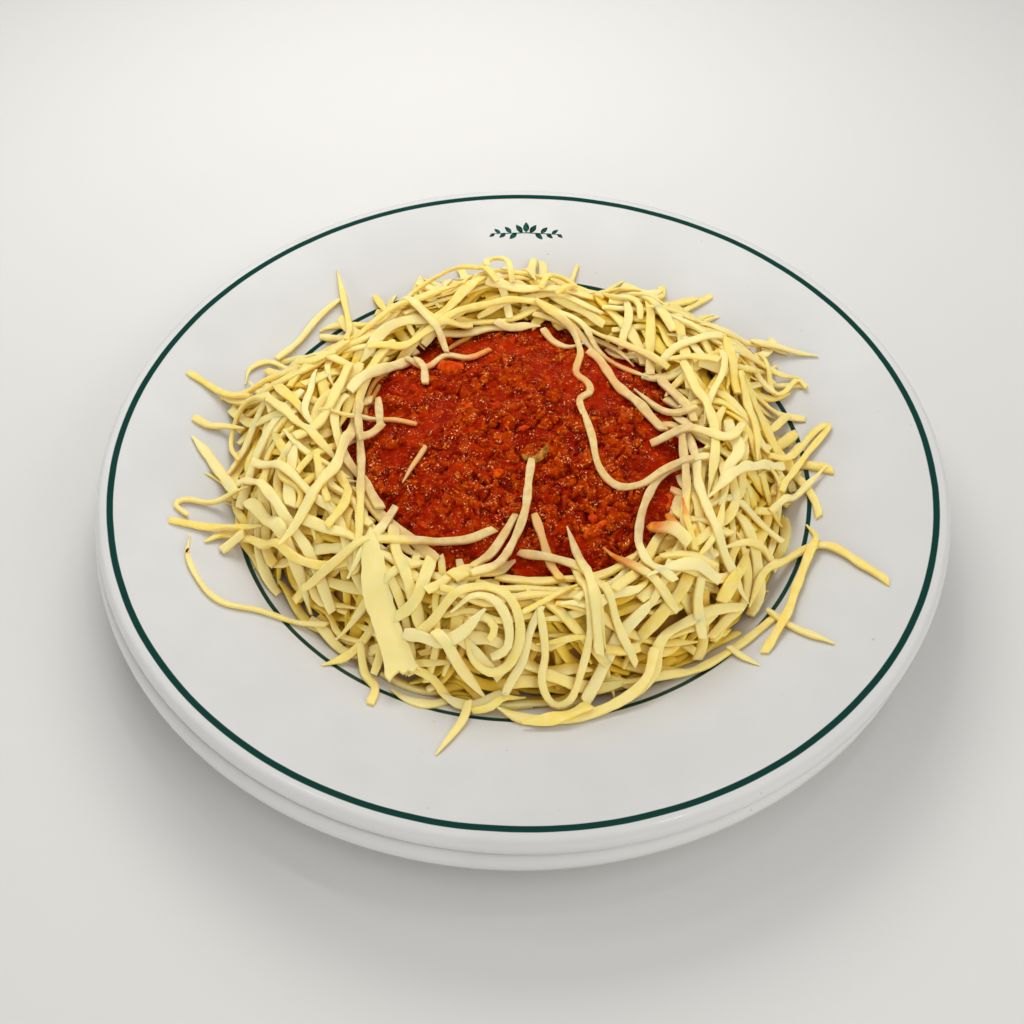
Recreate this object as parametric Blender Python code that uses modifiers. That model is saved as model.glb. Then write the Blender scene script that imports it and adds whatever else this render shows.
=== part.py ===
# Spaghetti bolognese on a wide-rimmed restaurant plate, with a second plate of the same
# kind stacked under it. Metres, +Z up. The origin is on the table, under the middle of
# the stack, and the diner sits on the -Y side.
#
# From the table upwards: under_plate, plate, spaghetti (the bed of pasta in the well),
# bolognese_sauce (the mound in the middle), grated_cheese (the ring of shreds around it),
# cheese_slice (the one broad slice on the ring) and the long shreds that strayed.

import math

import bpy
from mathutils import Vector, noise

MM = 0.001

# The plate. Its heights are measured from the face that its foot ring stands on.
PLATE_RADIUS = 149.7 * MM
BAND_RADIUS = 146.0 * MM            # outside of the green band, where the edge begins
BAND_HEIGHT = 28.2 * MM
LINE_RADIUS = 103.4 * MM            # the verge: the thin green line where the well begins
LINE_HEIGHT = BAND_HEIGHT - 10.9 * MM
FLOOR_RADIUS = 84.0 * MM
FLOOR_HEIGHT = 7.3 * MM
RIM_SLOPE = 0.352                   # at the verge; the rim flattens towards its edge
BODY_THICKNESS = 4.6 * MM           # measured straight down
EDGE_DEPTH = 7.0 * MM               # the rolled edge, top to bottom
FOOT_OUTSIDE = 80.0 * MM
FOOT_INSIDE = 74.5 * MM
PLATE_STEPS = 60

# The stack: how far apart two plates nest, and how far the lower one has slipped.
NEST_PITCH = 7.6 * MM
SLIP = Vector((-1.84 * MM, -1.20 * MM, 0.0))
PLATE_PLACE = Vector((0.0, 0.0, NEST_PITCH)) - SLIP / 2
UNDER_PLATE_PLACE = SLIP / 2

# The food. Its heights are measured from the level of the green band.
FOOD_GAP = 0.5 * MM                 # left free between two layers of food
PLATE_GAP = 0.8 * MM                # left free between the food and the plate
FOOD_STEPS = 50
BED = ((0, -2.5), (24, -2.0), (44, -0.5), (58, 0.6), (66, 2.4), (73, 3.4), (80, 2.2),
       (88, -2.8), (94, -9.0))                                 # radius, height in mm
SAUCE = ((0, 9.4), (12, 9.2), (24, 8.6), (36, 7.4), (47, 5.8), (54, 4.2), (58, 2.8))
RING = ((61.5, 4.6), (65, 8.6), (70, 12.0), (76, 13.6), (83, 12.4), (90, 8.8),
        (97, 3.2), (103, -3.2), (106.5, -7.6))
BED_RIM_THICKNESS = 2.0 * MM
RING_RIM_THICKNESS = 2.4 * MM
LUMP_SIZE = 14.0 * MM
SAUCE_LUMPS = 2.2 * MM
RING_LUMPS = 4.0 * MM
OUTLINE_SWELL = 0.022               # how much wider the heap is from side to side
OUTLINE_WANDER = 0.050

SLICE_LENGTH = 42.0 * MM
SLICE_WIDTHS = (1.6, 6.4, 8.8, 9.6, 10.2, 11.6, 13.6, 15.2, 14.4)   # tip to torn end, mm
SLICE_THICKNESS = 1.5 * MM
SLICE_LIFT = 1.8 * MM               # it lies on the uppermost shreds
SLICE_TIP = (-48.0 * MM, -48.0 * MM)
SLICE_HEADING = math.radians(-74)

SHRED_RADIUS = 1.2 * MM
STRAY_CLEARANCE = 2.2 * MM          # between the ring's edge and the axis of a shred
# Name, first end, last end and sideways bow: distances from the middle in mm, angles
# in degrees from +X. An end that lies nearer than the ring's edge stops at the edge.
STRAYS = (
    ("shred_left", (113, 165), (134, 163), 1.0),
    ("shred_left_middle", (104, 187), (123, 176), -2.0),
    ("shred_left_pair", (104, 198), (127, 194), 2.0),
    ("shred_left_arc", (120, 200), (100, 224), -14.0),
    ("shred_front", (101, 261), (121, 258), -1.6),
    ("shred_right_low", (109, 320), (128, 322), 1.0),
    ("shred_right_long", (104, 329), (133, 336), -6.0),
    ("shred_right_far", (103, 34), (126, 26), 1.5),
    ("shred_back", (107, 132), (125, 128), -2.0),
)
STRAY_POINTS = 8

PORCELAIN = ("glazed porcelain", (0.78, 0.77, 0.74), 0.12)
PASTA = ("cooked pasta", (0.80, 0.62, 0.34), 0.45)
SAUCE_RED = ("bolognese", (0.36, 0.035, 0.012), 0.30)
CHEESE = ("young cheese", (0.83, 0.72, 0.36), 0.48)


def make_material(name, colour, roughness):
    """A Principled material, made once and shared by every part that asks for it."""
    material = bpy.data.materials.get(name)
    if material:
        return material
    material = bpy.data.materials.new(name)
    material.use_nodes = True
    shader = material.node_tree.nodes["Principled BSDF"]
    shader.inputs["Base Color"].default_value = (*colour, 1.0)
    shader.inputs["Roughness"].default_value = roughness
    shader.inputs["Metallic"].default_value = 0.0
    material.diffuse_color = (*colour, 1.0)
    return material


def add_object(name, data, material, collection):
    data.materials.clear()
    data.materials.append(make_material(*material))
    part = bpy.data.objects.new(name, data)
    collection.objects.link(part)
    return part


def turn(name, profile, steps, material, collection):
    """A body of revolution: the outline in the XZ plane is turned round Z."""
    mesh = bpy.data.meshes.new(name)
    points = [(radius, 0.0, height) for radius, height in profile]
    edges = [(i, i + 1) for i in range(len(points) - 1)]
    if profile[0][0] > 0 and profile[-1][0] > 0:
        edges.append((len(points) - 1, 0))
    mesh.from_pydata(points, edges, [])
    part = add_object(name, mesh, material, collection)
    screw = part.modifiers.new("turn", "SCREW")
    screw.axis = "Z"
    screw.steps = steps
    screw.render_steps = steps
    screw.use_merge_vertices = True
    screw.merge_threshold = 0.01 * MM
    screw.use_smooth_shade = True
    return part


def sculpt(part, rule):
    """Bakes the part's modifiers into its mesh, then moves every point by the rule."""
    graph = bpy.context.evaluated_depsgraph_get()
    baked = bpy.data.meshes.new_from_object(part.evaluated_get(graph))
    part.modifiers.clear()
    part.data = baked
    for vertex in baked.vertices:
        vertex.co = rule(vertex.co.copy())
    baked.shade_smooth()


# ---------------------------------------------------------------- the two plates

def plate_height(radius):
    """The eating surface of the plate, above its foot, at a distance from its axis."""
    if radius <= FLOOR_RADIUS:
        return FLOOR_HEIGHT
    if radius <= LINE_RADIUS:
        span = LINE_RADIUS - FLOOR_RADIUS
        t = (radius - FLOOR_RADIUS) / span
        rise = LINE_HEIGHT - FLOOR_HEIGHT
        return FLOOR_HEIGHT + rise * (3 * t ** 2 - 2 * t ** 3) + RIM_SLOPE * span * (t ** 3 - t ** 2)
    span = BAND_RADIUS - LINE_RADIUS
    run = radius - LINE_RADIUS
    flattening = (RIM_SLOPE * span - (BAND_HEIGHT - LINE_HEIGHT)) / span ** 2
    return LINE_HEIGHT + RIM_SLOPE * run - flattening * run ** 2


def plate_profile():
    """Middle of the floor, out over the rim, down the rolled edge and back underneath."""
    top_radii = (0.0, FLOOR_RADIUS, 88 * MM, 93 * MM, 98 * MM, LINE_RADIUS, 122 * MM, BAND_RADIUS)
    profile = [(radius, plate_height(radius)) for radius in top_radii]
    edge_middle = (PLATE_RADIUS - 2.4 * MM, BAND_HEIGHT + 0.3 * MM - EDGE_DEPTH / 2)
    for step in range(5):
        angle = math.radians(80 - 42 * step)
        radius = edge_middle[0] + 2.4 * MM * math.cos(angle)
        height = edge_middle[1] + EDGE_DEPTH / 2 * math.sin(angle)
        profile.append((radius, height))
    for radius in (143.5 * MM, 122 * MM, LINE_RADIUS, 94 * MM, 86 * MM):
        profile.append((radius, plate_height(radius) - BODY_THICKNESS))
    base = FLOOR_HEIGHT - BODY_THICKNESS
    profile += [(FOOT_OUTSIDE + 1 * MM, base), (FOOT_OUTSIDE, 0.0), (FOOT_INSIDE, 0.0)]
    profile += [(FOOT_INSIDE - 1 * MM, base), (0.0, base)]
    return profile


def make_plate(name, place, collection):
    plate = turn(name, plate_profile(), PLATE_STEPS, PORCELAIN, collection)
    plate.location = place
    return plate


# ---------------------------------------------------------------- the heap of food

def band_level():
    return PLATE_PLACE.z + BAND_HEIGHT


def outline(angle):
    """How far the heap reaches at this angle, against its mean."""
    swell = OUTLINE_SWELL * math.cos(2 * angle)
    round_the_heap = Vector((2.6 * math.cos(angle), 2.6 * math.sin(angle), 4.0))
    return 1.0 + swell + OUTLINE_WANDER * noise.noise(round_the_heap)


def ring_edge(angle):
    return RING[-1][0] * MM * outline(angle)


def lumps(point, depth):
    """Smooth lumps of about LUMP_SIZE, the same on every layer at the same place."""
    place = Vector((point.x / LUMP_SIZE, point.y / LUMP_SIZE, 7.0))
    return depth * noise.noise(place)


def between(curve, radius):
    """The height of a layer's curve at a radius, both in metres."""
    for (r0, h0), (r1, h1) in zip(curve, curve[1:]):
        if radius <= r1 * MM:
            t = (radius / MM - r0) / (r1 - r0)
            return (h0 + t * (h1 - h0)) * MM
    return curve[-1][1] * MM


def food_shift():
    return Vector((PLATE_PLACE.x, PLATE_PLACE.y, band_level()))


def spread(point):
    """Moves a point of a turned layer outwards or inwards to the heap's uneven outline."""
    radius = math.hypot(point.x, point.y)
    reach = outline(math.atan2(point.y, point.x))
    weight = min(1.0, radius / (60 * MM))
    factor = 1 + (reach - 1) * weight
    return Vector((point.x * factor, point.y * factor, point.z))


def plate_under(point):
    """Height of the plate's surface below a point, from the level of the band."""
    return plate_height(math.hypot(point.x, point.y)) - BAND_HEIGHT


def make_spaghetti(collection):
    """The bed of pasta: it fills the well and its top is dished for the sauce."""
    top = [(r * MM, h * MM) for r, h in BED]
    radii_below = (96, 90, 84, 50, 0)
    profile = top + [(r * MM, 0.0) for r in radii_below]
    bed = turn("spaghetti", profile, FOOD_STEPS, PASTA, collection)
    lowest_top = BED[-1][1] * MM

    def rule(point):
        radius = math.hypot(point.x, point.y)
        top_side = point.z != 0.0 and radius < 95 * MM
        moved = spread(point)
        rest = plate_under(moved) + PLATE_GAP
        if not top_side:
            moved.z = rest
        elif radius > BED[-2][0] * MM + 1 * MM:
            moved.z = max(lowest_top, rest + BED_RIM_THICKNESS)
        return moved

    sculpt(bed, rule)
    bed.location = food_shift()
    return bed


def make_sauce(collection):
    """The mound of sauce: level with the ring's inside edge, and higher in the middle."""
    top = [(r * MM, h * MM) for r, h in SAUCE]
    below = [(r * MM, h * MM) for r, h in reversed(BED) if r < 58]
    edge = [(58.6 * MM, between(BED, 58.6 * MM) + 1.4 * MM)]
    sauce = turn("bolognese_sauce", top + edge + [(r, h + FOOD_GAP) for r, h in below],
                 FOOD_STEPS, SAUCE_RED, collection)

    def rule(point):
        radius = math.hypot(point.x, point.y)
        moved = spread(point)
        if point.z > between(BED, radius) + 2 * FOOD_GAP:
            moved.z += lumps(moved, SAUCE_LUMPS)
        return moved

    sculpt(sauce, rule)
    sauce.location = food_shift()
    return sauce


def ring_top(point):
    """Height of the cheese ring's top at a point, from the level of the band."""
    reach = outline(math.atan2(point.y, point.x))
    radius = math.hypot(point.x, point.y) / reach
    crest = max(0.0, 1.0 - abs(radius - 80 * MM) / (24 * MM))
    bump = lumps(point, RING_LUMPS) * min(1.0, 2 * crest)
    over_plate = plate_under(point) + RING_RIM_THICKNESS
    return max(between(RING, radius) + bump, over_plate)


def make_cheese_ring(collection):
    """The ring of grated cheese: its shreds lie on the pasta and out over the verge."""
    top = [(r * MM, h * MM) for r, h in RING]
    radii_below = (105.5, 98, 94, 88, 80, 73, 66, 62.5)
    profile = top + [(r * MM, -1.0) for r in radii_below]
    ring = turn("grated_cheese", profile, FOOD_STEPS, CHEESE, collection)

    def rule(point):
        radius = math.hypot(point.x, point.y)
        moved = spread(point)
        if point.z > -0.5:
            moved.z = ring_top(moved)
            return moved
        on_plate = plate_under(moved) + PLATE_GAP
        if radius > BED[-1][0] * MM + 1 * MM:
            moved.z = on_plate
        else:
            on_bed = between(BED, radius) + FOOD_GAP
            moved.z = max(on_bed, on_plate + BED_RIM_THICKNESS)
        return moved

    sculpt(ring, rule)
    ring.location = food_shift()
    return ring


def make_cheese_slice(collection):
    """The broad slice that came off the grater whole, draped over the ring."""
    rows = len(SLICE_WIDTHS)
    columns = (-0.5, -0.17, 0.17, 0.5)
    along = Vector((math.cos(SLICE_HEADING), math.sin(SLICE_HEADING), 0.0))
    across = Vector((-along.y, along.x, 0.0))
    points = []
    for row, width in enumerate(SLICE_WIDTHS):
        middle = Vector((*SLICE_TIP, 0.0)) + along * SLICE_LENGTH * row / (rows - 1)
        for column in columns:
            point = middle + across * width * MM * column
            point.z = ring_top(point) + SLICE_LIFT
            points.append(point)
    faces = []
    for row in range(rows - 1):
        for column in range(len(columns) - 1):
            first = row * len(columns) + column
            faces.append((first, first + len(columns), first + len(columns) + 1, first + 1))
    mesh = bpy.data.meshes.new("cheese_slice")
    mesh.from_pydata(points, [], faces)
    part = add_object("cheese_slice", mesh, CHEESE, collection)
    shell = part.modifiers.new("thickness", "SOLIDIFY")
    shell.thickness = SLICE_THICKNESS
    shell.offset = 1.0
    part.location = food_shift()
    return part


def make_stray(name, start, end, bow, collection):
    """One long shred that lies on the rim: a bowed line from start to end in plan."""
    ends = []
    for distance, degrees in (start, end):
        angle = math.radians(degrees)
        radius = max(distance * MM, ring_edge(angle) + STRAY_CLEARANCE)
        ends.append(Vector((radius * math.cos(angle), radius * math.sin(angle), 0.0)))
    along = ends[1] - ends[0]
    across = Vector((-along.y, along.x, 0.0)).normalized()
    curve = bpy.data.curves.new(name, "CURVE")
    curve.dimensions = "3D"
    curve.bevel_depth = SHRED_RADIUS
    curve.bevel_resolution = 1
    curve.use_fill_caps = True
    line = curve.splines.new("POLY")
    line.points.add(STRAY_POINTS - 1)
    for index, point in enumerate(line.points):
        t = index / (STRAY_POINTS - 1)
        place = ends[0] + along * t + across * bow * MM * 4 * t * (1 - t)
        place.z = plate_under(place) + SHRED_RADIUS + FOOD_GAP
        point.co = (*place, 1.0)
    part = add_object(name, curve, CHEESE, collection)
    part.location = food_shift()
    return part


def build():
    for old in list(bpy.data.objects):
        bpy.data.objects.remove(old, do_unlink=True)
    collection = bpy.data.collections.new("spaghetti_bolognese")
    bpy.context.scene.collection.children.link(collection)
    make_plate("under_plate", UNDER_PLATE_PLACE, collection)
    make_plate("plate", PLATE_PLACE, collection)
    make_spaghetti(collection)
    make_sauce(collection)
    make_cheese_ring(collection)
    make_cheese_slice(collection)
    for name, start, end, bow in STRAYS:
        make_stray(name, start, end, bow, collection)


build()
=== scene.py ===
import math

import bmesh
import bpy
import numpy as np
from mathutils import Matrix, Vector, noise
from mathutils.bvhtree import BVHTree


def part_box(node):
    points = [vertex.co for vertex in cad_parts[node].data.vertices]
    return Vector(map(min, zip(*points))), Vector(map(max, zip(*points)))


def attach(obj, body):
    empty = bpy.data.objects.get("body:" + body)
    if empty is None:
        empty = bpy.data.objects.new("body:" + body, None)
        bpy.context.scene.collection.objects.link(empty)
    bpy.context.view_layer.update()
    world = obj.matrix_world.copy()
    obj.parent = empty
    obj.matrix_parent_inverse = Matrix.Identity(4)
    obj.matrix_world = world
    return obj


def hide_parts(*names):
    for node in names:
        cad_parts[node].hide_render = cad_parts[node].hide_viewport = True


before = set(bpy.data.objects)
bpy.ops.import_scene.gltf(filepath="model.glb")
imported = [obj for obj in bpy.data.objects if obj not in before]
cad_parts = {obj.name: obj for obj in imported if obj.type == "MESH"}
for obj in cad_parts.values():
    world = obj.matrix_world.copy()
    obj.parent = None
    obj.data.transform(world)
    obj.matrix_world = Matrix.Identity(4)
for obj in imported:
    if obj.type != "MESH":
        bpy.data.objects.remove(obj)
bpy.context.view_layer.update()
scene = bpy.context.scene

# Everything is worked out in millimetres about the heap's own origin, which lies on the
# upper plate's axis at the level of its green band, and is turned into metres at the end.
mm = 0.001
bandHeight = 28.2                      # of the green band over the plate's foot
plateLow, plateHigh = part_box("plate")
underLow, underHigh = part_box("under_plate")
axis = (plateLow + plateHigh) / 2 / mm
underAxis = (underLow + underHigh) / 2 / mm
heapOrigin = np.array([axis.x, axis.y, plateLow.z / mm + bandHeight])


# small helpers for nodes
def addNode(tree, kind, feeds=None, **settings):
    node = tree.nodes.new("ShaderNode" + kind)
    for name, value in settings.items():
        setattr(node, name, value)
    for socket, value in (feeds or {}).items():
        if isinstance(value, bpy.types.NodeSocket):
            tree.links.new(value, node.inputs[socket])
        else:
            node.inputs[socket].default_value = value
    return node


def calculate(tree, operation, first, second=0.0):
    return addNode(tree, "Math", {0: first, 1: second}, operation=operation).outputs[0]


def mixColours(tree, factor, first, second):
    return addNode(tree, "Mix", {0: factor, 6: first, 7: second}, data_type="RGBA").outputs[2]


def layColour(tree, below, where, strength, shade):
    # some of a colour over what is there already
    return mixColours(tree, calculate(tree, "MULTIPLY", where, strength), below, shade)


def ramp(tree, value, low, high):
    # 0 below low, 1 above high, smooth between
    feeds = {"Value": value, "From Min": low, "From Max": high}
    return addNode(tree, "MapRange", feeds, interpolation_type="SMOOTHSTEP").outputs[0]


def colour(red, green, blue):
    # a screen colour, 0 to 255, as the linear colour that a shader takes
    parts = [c / 255 for c in (red, green, blue)]
    return (*[c / 12.92 if c < 0.04045 else ((c + 0.055) / 1.055) ** 2.4 for c in parts], 1.0)


def newMaterial(name):
    material = bpy.data.materials.new(name)
    material.use_nodes = True
    tree = material.node_tree
    tree.nodes.clear()
    shader = addNode(tree, "BsdfPrincipled")
    addNode(tree, "OutputMaterial", {"Surface": shader.outputs[0]})
    return material, tree, shader


def objectPlace(tree):
    return addNode(tree, "TexCoord").outputs["Object"]


def readMarks(tree, *names):
    # the values that addPiece writes on a mesh under these names
    return [addNode(tree, "Attribute", attribute_name=name).outputs["Fac"] for name in names]


def letLightIn(shader, weight, reach):
    # the reach is in mm, for red, green and blue
    shader.inputs["Subsurface Weight"].default_value = weight
    shader.inputs["Subsurface Radius"].default_value = reach
    shader.inputs["Subsurface Scale"].default_value = mm


def grain(tree, place, size, detail=2.0, **settings):
    # cloudy noise whose lumps are about so many millimetres
    feeds = {"Vector": place, "Scale": 1 / (size * mm), "Detail": detail}
    return addNode(tree, "TexNoise", feeds, **settings).outputs[0]


def bump(tree, height, depth, strength=1.0, below=None):
    feeds = {"Height": height, "Distance": depth * mm, "Strength": strength}
    if below is not None:
        feeds["Normal"] = below
    return addNode(tree, "Bump", feeds).outputs[0]


# small helpers for meshes
def addPiece(name, points, faces, material, origin=heapOrigin, marks=None, crease=None):
    mesh = bpy.data.meshes.new(name)
    mesh.from_pydata((np.asarray(points, float) * mm).tolist(), [], faces)
    mesh.shade_smooth()
    if crease is not None:
        mesh.set_sharp_from_angle(angle=math.radians(crease))
    mesh.materials.append(material)
    for key, values in (marks or {}).items():
        mark = mesh.attributes.new(key, "FLOAT", "POINT")
        mark.data.foreach_set("value", np.asarray(values, np.float32))
    piece = bpy.data.objects.new(name, mesh)
    piece.location = Vector(np.asarray(origin, float) * mm)
    scene.collection.objects.link(piece)
    return piece


def joinedPatches(patches):
    # several (points, faces) as one
    points, faces, start = [], [], 0
    for patchPoints, patchFaces in patches:
        points.append(patchPoints)
        faces += [tuple(start + i for i in face) for face in patchFaces]
        start += len(patchPoints)
    return np.concatenate(points), faces


def tubeFaces(rows, around):
    # quads between rings of points, with a cap at either end
    faces = []
    for row in range(rows - 1):
        for i in range(around):
            j = (i + 1) % around
            a, b = row * around, (row + 1) * around
            faces.append((a + i, a + j, b + j, b + i))
    faces.append(tuple(reversed(range(around))))
    faces.append(tuple((rows - 1) * around + i for i in range(around)))
    return faces


def gridFaces(rows, columns):
    # quads between the points of a grid
    faces = []
    for row in range(rows - 1):
        for column in range(columns - 1):
            i = row * columns + column
            faces.append((i, i + 1, i + columns + 1, i + columns))
    return faces


def gridRim(rows, columns):
    # the points round the edge of a grid, in order
    rim = [*range(columns - 1)]
    rim += [row * columns + columns - 1 for row in range(rows - 1)]
    rim += [rows * columns - 1 - i for i in range(columns - 1)]
    rim += [(rows - 1 - row) * columns for row in range(rows - 1)]
    return rim


def turned(profile, steps):
    # a closed profile of (radius, height), from the axis on top to the axis underneath
    angles = np.arange(steps) * 2 * math.pi / steps
    points, faces = [], []
    rings = profile[1:-1]
    for radius, height in rings:
        points += [(radius * math.cos(a), radius * math.sin(a), height) for a in angles]
    points += [(0, 0, profile[0][1]), (0, 0, profile[-1][1])]
    topPole, lowPole = len(points) - 2, len(points) - 1
    last = (len(rings) - 1) * steps
    for i in range(steps):
        j = (i + 1) % steps
        faces.append((topPole, i, j))
        faces.append((lowPole, last + j, last + i))
        for ring in range(len(rings) - 1):
            a, b = ring * steps, (ring + 1) * steps
            faces.append((a + i, b + i, b + j, a + j))
    return points, faces


# noise for arrays of places, from tables of so many cells a side
noiseCells = 97


def cloudNoise(x, y, size, seed):
    # smooth noise from -1 to 1 with lumps of the given size
    table = np.random.default_rng(seed).uniform(-1, 1, (noiseCells, noiseCells))
    u, v = x / size + noiseCells / 2, y / size + noiseCells / 2
    i, j = np.floor(u).astype(int), np.floor(v).astype(int)
    s, t = u - i, v - j
    s, t = s * s * (3 - 2 * s), t * t * (3 - 2 * t)
    corners = ((0, 0), (1, 0), (0, 1), (1, 1))
    value = [table[(i + a) % noiseCells, (j + b) % noiseCells] for a, b in corners]
    return (value[0] * (1 - s) + value[1] * s) * (1 - t) + (value[2] * (1 - s) + value[3] * s) * t


def cellNoise(x, y, size, seed):
    # distance to the nearest of a scatter of points, in cell sizes, and that point's own number
    draw = np.random.default_rng(seed)
    jitterX, jitterY, label = draw.random((3, noiseCells, noiseCells))
    u, v = x / size + noiseCells / 2, y / size + noiseCells / 2
    i, j = np.floor(u).astype(int), np.floor(v).astype(int)
    nearest = np.full(u.shape, 9.0)
    number = np.zeros(u.shape)
    for a in (-1, 0, 1):
        for b in (-1, 0, 1):
            row, column = (i + a) % noiseCells, (j + b) % noiseCells
            away = np.hypot(i + a + jitterX[row, column] - u, j + b + jitterY[row, column] - v)
            closer = away < nearest
            nearest = np.where(closer, away, nearest)
            number = np.where(closer, label[row, column], number)
    return nearest, number


def easeStep(value, low, high):
    t = np.clip((value - low) / (high - low), 0, 1)
    return t * t * (3 - 2 * t)


# camera, floor and light
camera = {
    "distance": 465.5,                 # from the middle of the band, mm
    "elevation": 48.535,
    "aim": (-3.472, -28.066, 0.0),
    "roll": 0.27,
    "lens": 45.703,
    "sensor": 36.0,
}
elevation = math.radians(camera["elevation"])
eye = Vector((0, -math.cos(elevation), math.sin(elevation))) * camera["distance"]
forward = (Vector(camera["aim"]) - eye).normalized()
right = forward.cross(Vector((0, 0, 1))).normalized()
stand = Matrix((right, right.cross(forward), -forward)).transposed()
cameraData = bpy.data.cameras.new("camera")
cameraData.lens = camera["lens"]
cameraData.sensor_width = camera["sensor"]
cameraData.clip_start = 0.02           # metres, so that a near view isn't cut open
cameraObject = bpy.data.objects.new("camera", cameraData)
cameraObject.rotation_euler = (stand @ Matrix.Rotation(math.radians(camera["roll"]), 3, "Z")).to_euler()
cameraObject.location = (eye + Vector(heapOrigin)) * mm
scene.collection.objects.link(cameraObject)
scene.camera = cameraObject
scene.view_settings.view_transform = "Standard"

lights = {
    # name: place in metres, width and depth, watts
    "backPanel": ((-0.08, 0.36, 0.46), (0.40, 0.30), 2.2),
    "leftPanel": ((-1.00, 0.00, 0.60), (0.50, 0.60), 1.2),
    "frontLeftPanel": ((-0.90, -0.80, 0.40), (0.80, 0.40), 3.5),
    "frontRightPanel": ((0.62, -0.68, 0.95), (0.80, 0.40), 2.1),
    "highPanel": ((0.10, -0.45, 1.05), (0.50, 0.40), 1.4),
    "lowPanel": ((0.80, -0.90, 0.35), (0.80, 0.30), 3.8),
    "rightPanel": ((1.00, -0.10, 0.80), (0.50, 0.60), 1.9),
    "spot": ((-0.30, 0.36, 1.25), (0.05, 0.05), 0.5),
    "secondSpot": ((0.30, 0.10, 1.30), (0.05, 0.05), 0.5),
}
studio = {
    "sky": 0.22,
    "lampTint": (1.0, 0.99, 0.975),
    "aim": (0, 0, 0.03),               # where the lamps point, in metres
    "mirroredUpTo": 0.1,               # only lamps smaller than this are mirrored, as small glints
    "floor": (0.72, 0.71, 0.69, 1.0),
    "floorRoughness": 0.7,
    "floorReach": 3.0,                 # metres
}


def addPanel(name, place, size, power):
    data = bpy.data.lights.new(name, "AREA")
    data.shape = "RECTANGLE"
    data.size, data.size_y = size
    data.energy = power
    data.color = studio["lampTint"]
    lamp = bpy.data.objects.new(name, data)
    lamp.location = place
    lamp.visible_glossy = size[0] < studio["mirroredUpTo"]
    lamp.rotation_euler = (Vector(studio["aim"]) - Vector(place)).to_track_quat("-Z", "Y").to_euler()
    scene.collection.objects.link(lamp)


for name, (place, size, power) in lights.items():
    addPanel(name, place, size, power)
world = bpy.data.worlds.new("studio")
world.use_nodes = True
sky = world.node_tree.nodes["Background"]
sky.inputs["Color"].default_value = (*studio["lampTint"], 1.0)
sky.inputs["Strength"].default_value = studio["sky"]
scene.world = world


def makeFloor():
    material, tree, shader = newMaterial("paleFloor")
    shader.inputs["Base Color"].default_value = studio["floor"]
    shader.inputs["Roughness"].default_value = studio["floorRoughness"]
    floorMesh = bpy.data.meshes.new("floor")
    builder = bmesh.new()
    bmesh.ops.create_grid(builder, x_segments=1, y_segments=1, size=studio["floorReach"])
    builder.to_mesh(floorMesh)
    builder.free()
    floorMesh.materials.append(material)
    floor = bpy.data.objects.new("floor", floorMesh)
    scene.collection.objects.link(floor)


makeFloor()
print("camera, floor and light are set")


# the two plates
plate = {
    "radius": 150.6,
    "bandRadius": 146.0,               # of the band's outer edge, where the heights are counted from
    "lineRadius": 103.4,
    "lineDrop": 10.9,                  # how far the thin line lies below the band
    "floorRadius": 84.0,
    "floorHeight": 7.3,
    "rimSlope": 0.352,                 # at the thin line; it flattens towards the edge
    "body": 4.6,                       # how thick the clay is
    "edgeRound": 2.9,
    "edgeDepth": 8.3,
    "foot": (80.0, 74.5),              # outer and inner radius of its ring
    "steps": 256,
    "edgeLift": 0.3,                   # of the edge's top over the band
    "underDrop": 0.9,                  # how much lower the lower one sits, on a foot shorter by as much
    "band": (144.0, 146.2),
    "line": (102.6, 104.15),
    "brushSoft": (0.16, 0.14),         # how soft the edges of the band and the line are
    "white": (colour(213, 213, 211), colour(208, 208, 206)),
    "speck": colour(120, 110, 96),
    "green": colour(0, 54, 46),
}


def plateHeight(radius):
    # the eating surface over the plate's foot, for an array of radii
    floorHeight, lineHeight = plate["floorHeight"], bandHeight - plate["lineDrop"]
    wall = plate["lineRadius"] - plate["floorRadius"]
    t = np.clip((radius - plate["floorRadius"]) / wall, 0, 1)
    well = floorHeight + (lineHeight - floorHeight) * (3 * t**2 - 2 * t**3)
    well = well + plate["rimSlope"] * wall * (t**3 - t**2)
    span = plate["bandRadius"] - plate["lineRadius"]
    flattening = (plate["rimSlope"] * span - plate["lineDrop"]) / span**2
    run = radius - plate["lineRadius"]
    rim = lineHeight + plate["rimSlope"] * run - flattening * run**2
    return np.where(radius <= plate["lineRadius"], well, rim)


def plateProfile(footHeight=0.0):
    top = [0.0, 20.0, 40.0, 60.0, 76.0, *np.linspace(82, 106, 17), *np.linspace(110, 145.2, 11)]
    profile = [(r, float(plateHeight(np.float64(r)))) for r in top]
    middleRadius = plate["radius"] - plate["edgeRound"]
    middleHeight = bandHeight + plate["edgeLift"] - plate["edgeDepth"] / 2
    for degrees in range(88, -92, -9):
        a = math.radians(degrees)
        bulge = plate["edgeRound"] * math.cos(a)
        profile.append((middleRadius + bulge, middleHeight + plate["edgeDepth"] / 2 * math.sin(a)))
    for r in [144.0, *np.linspace(140, 86, 12)]:
        profile.append((r, float(plateHeight(np.float64(r))) - plate["body"]))
    base = plate["floorHeight"] - plate["body"]
    outside, inside = plate["foot"]
    profile += [(outside + 1.4, base), (outside + 0.4, base - 0.6), (outside, footHeight + 0.5)]
    profile += [(outside - 0.5, footHeight), (inside + 0.5, footHeight)]
    profile += [(inside, footHeight + 0.5), (inside - 0.4, base - 0.6), (inside - 1.4, base)]
    profile += [(40.0, base), (0.0, base)]
    return profile


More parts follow.
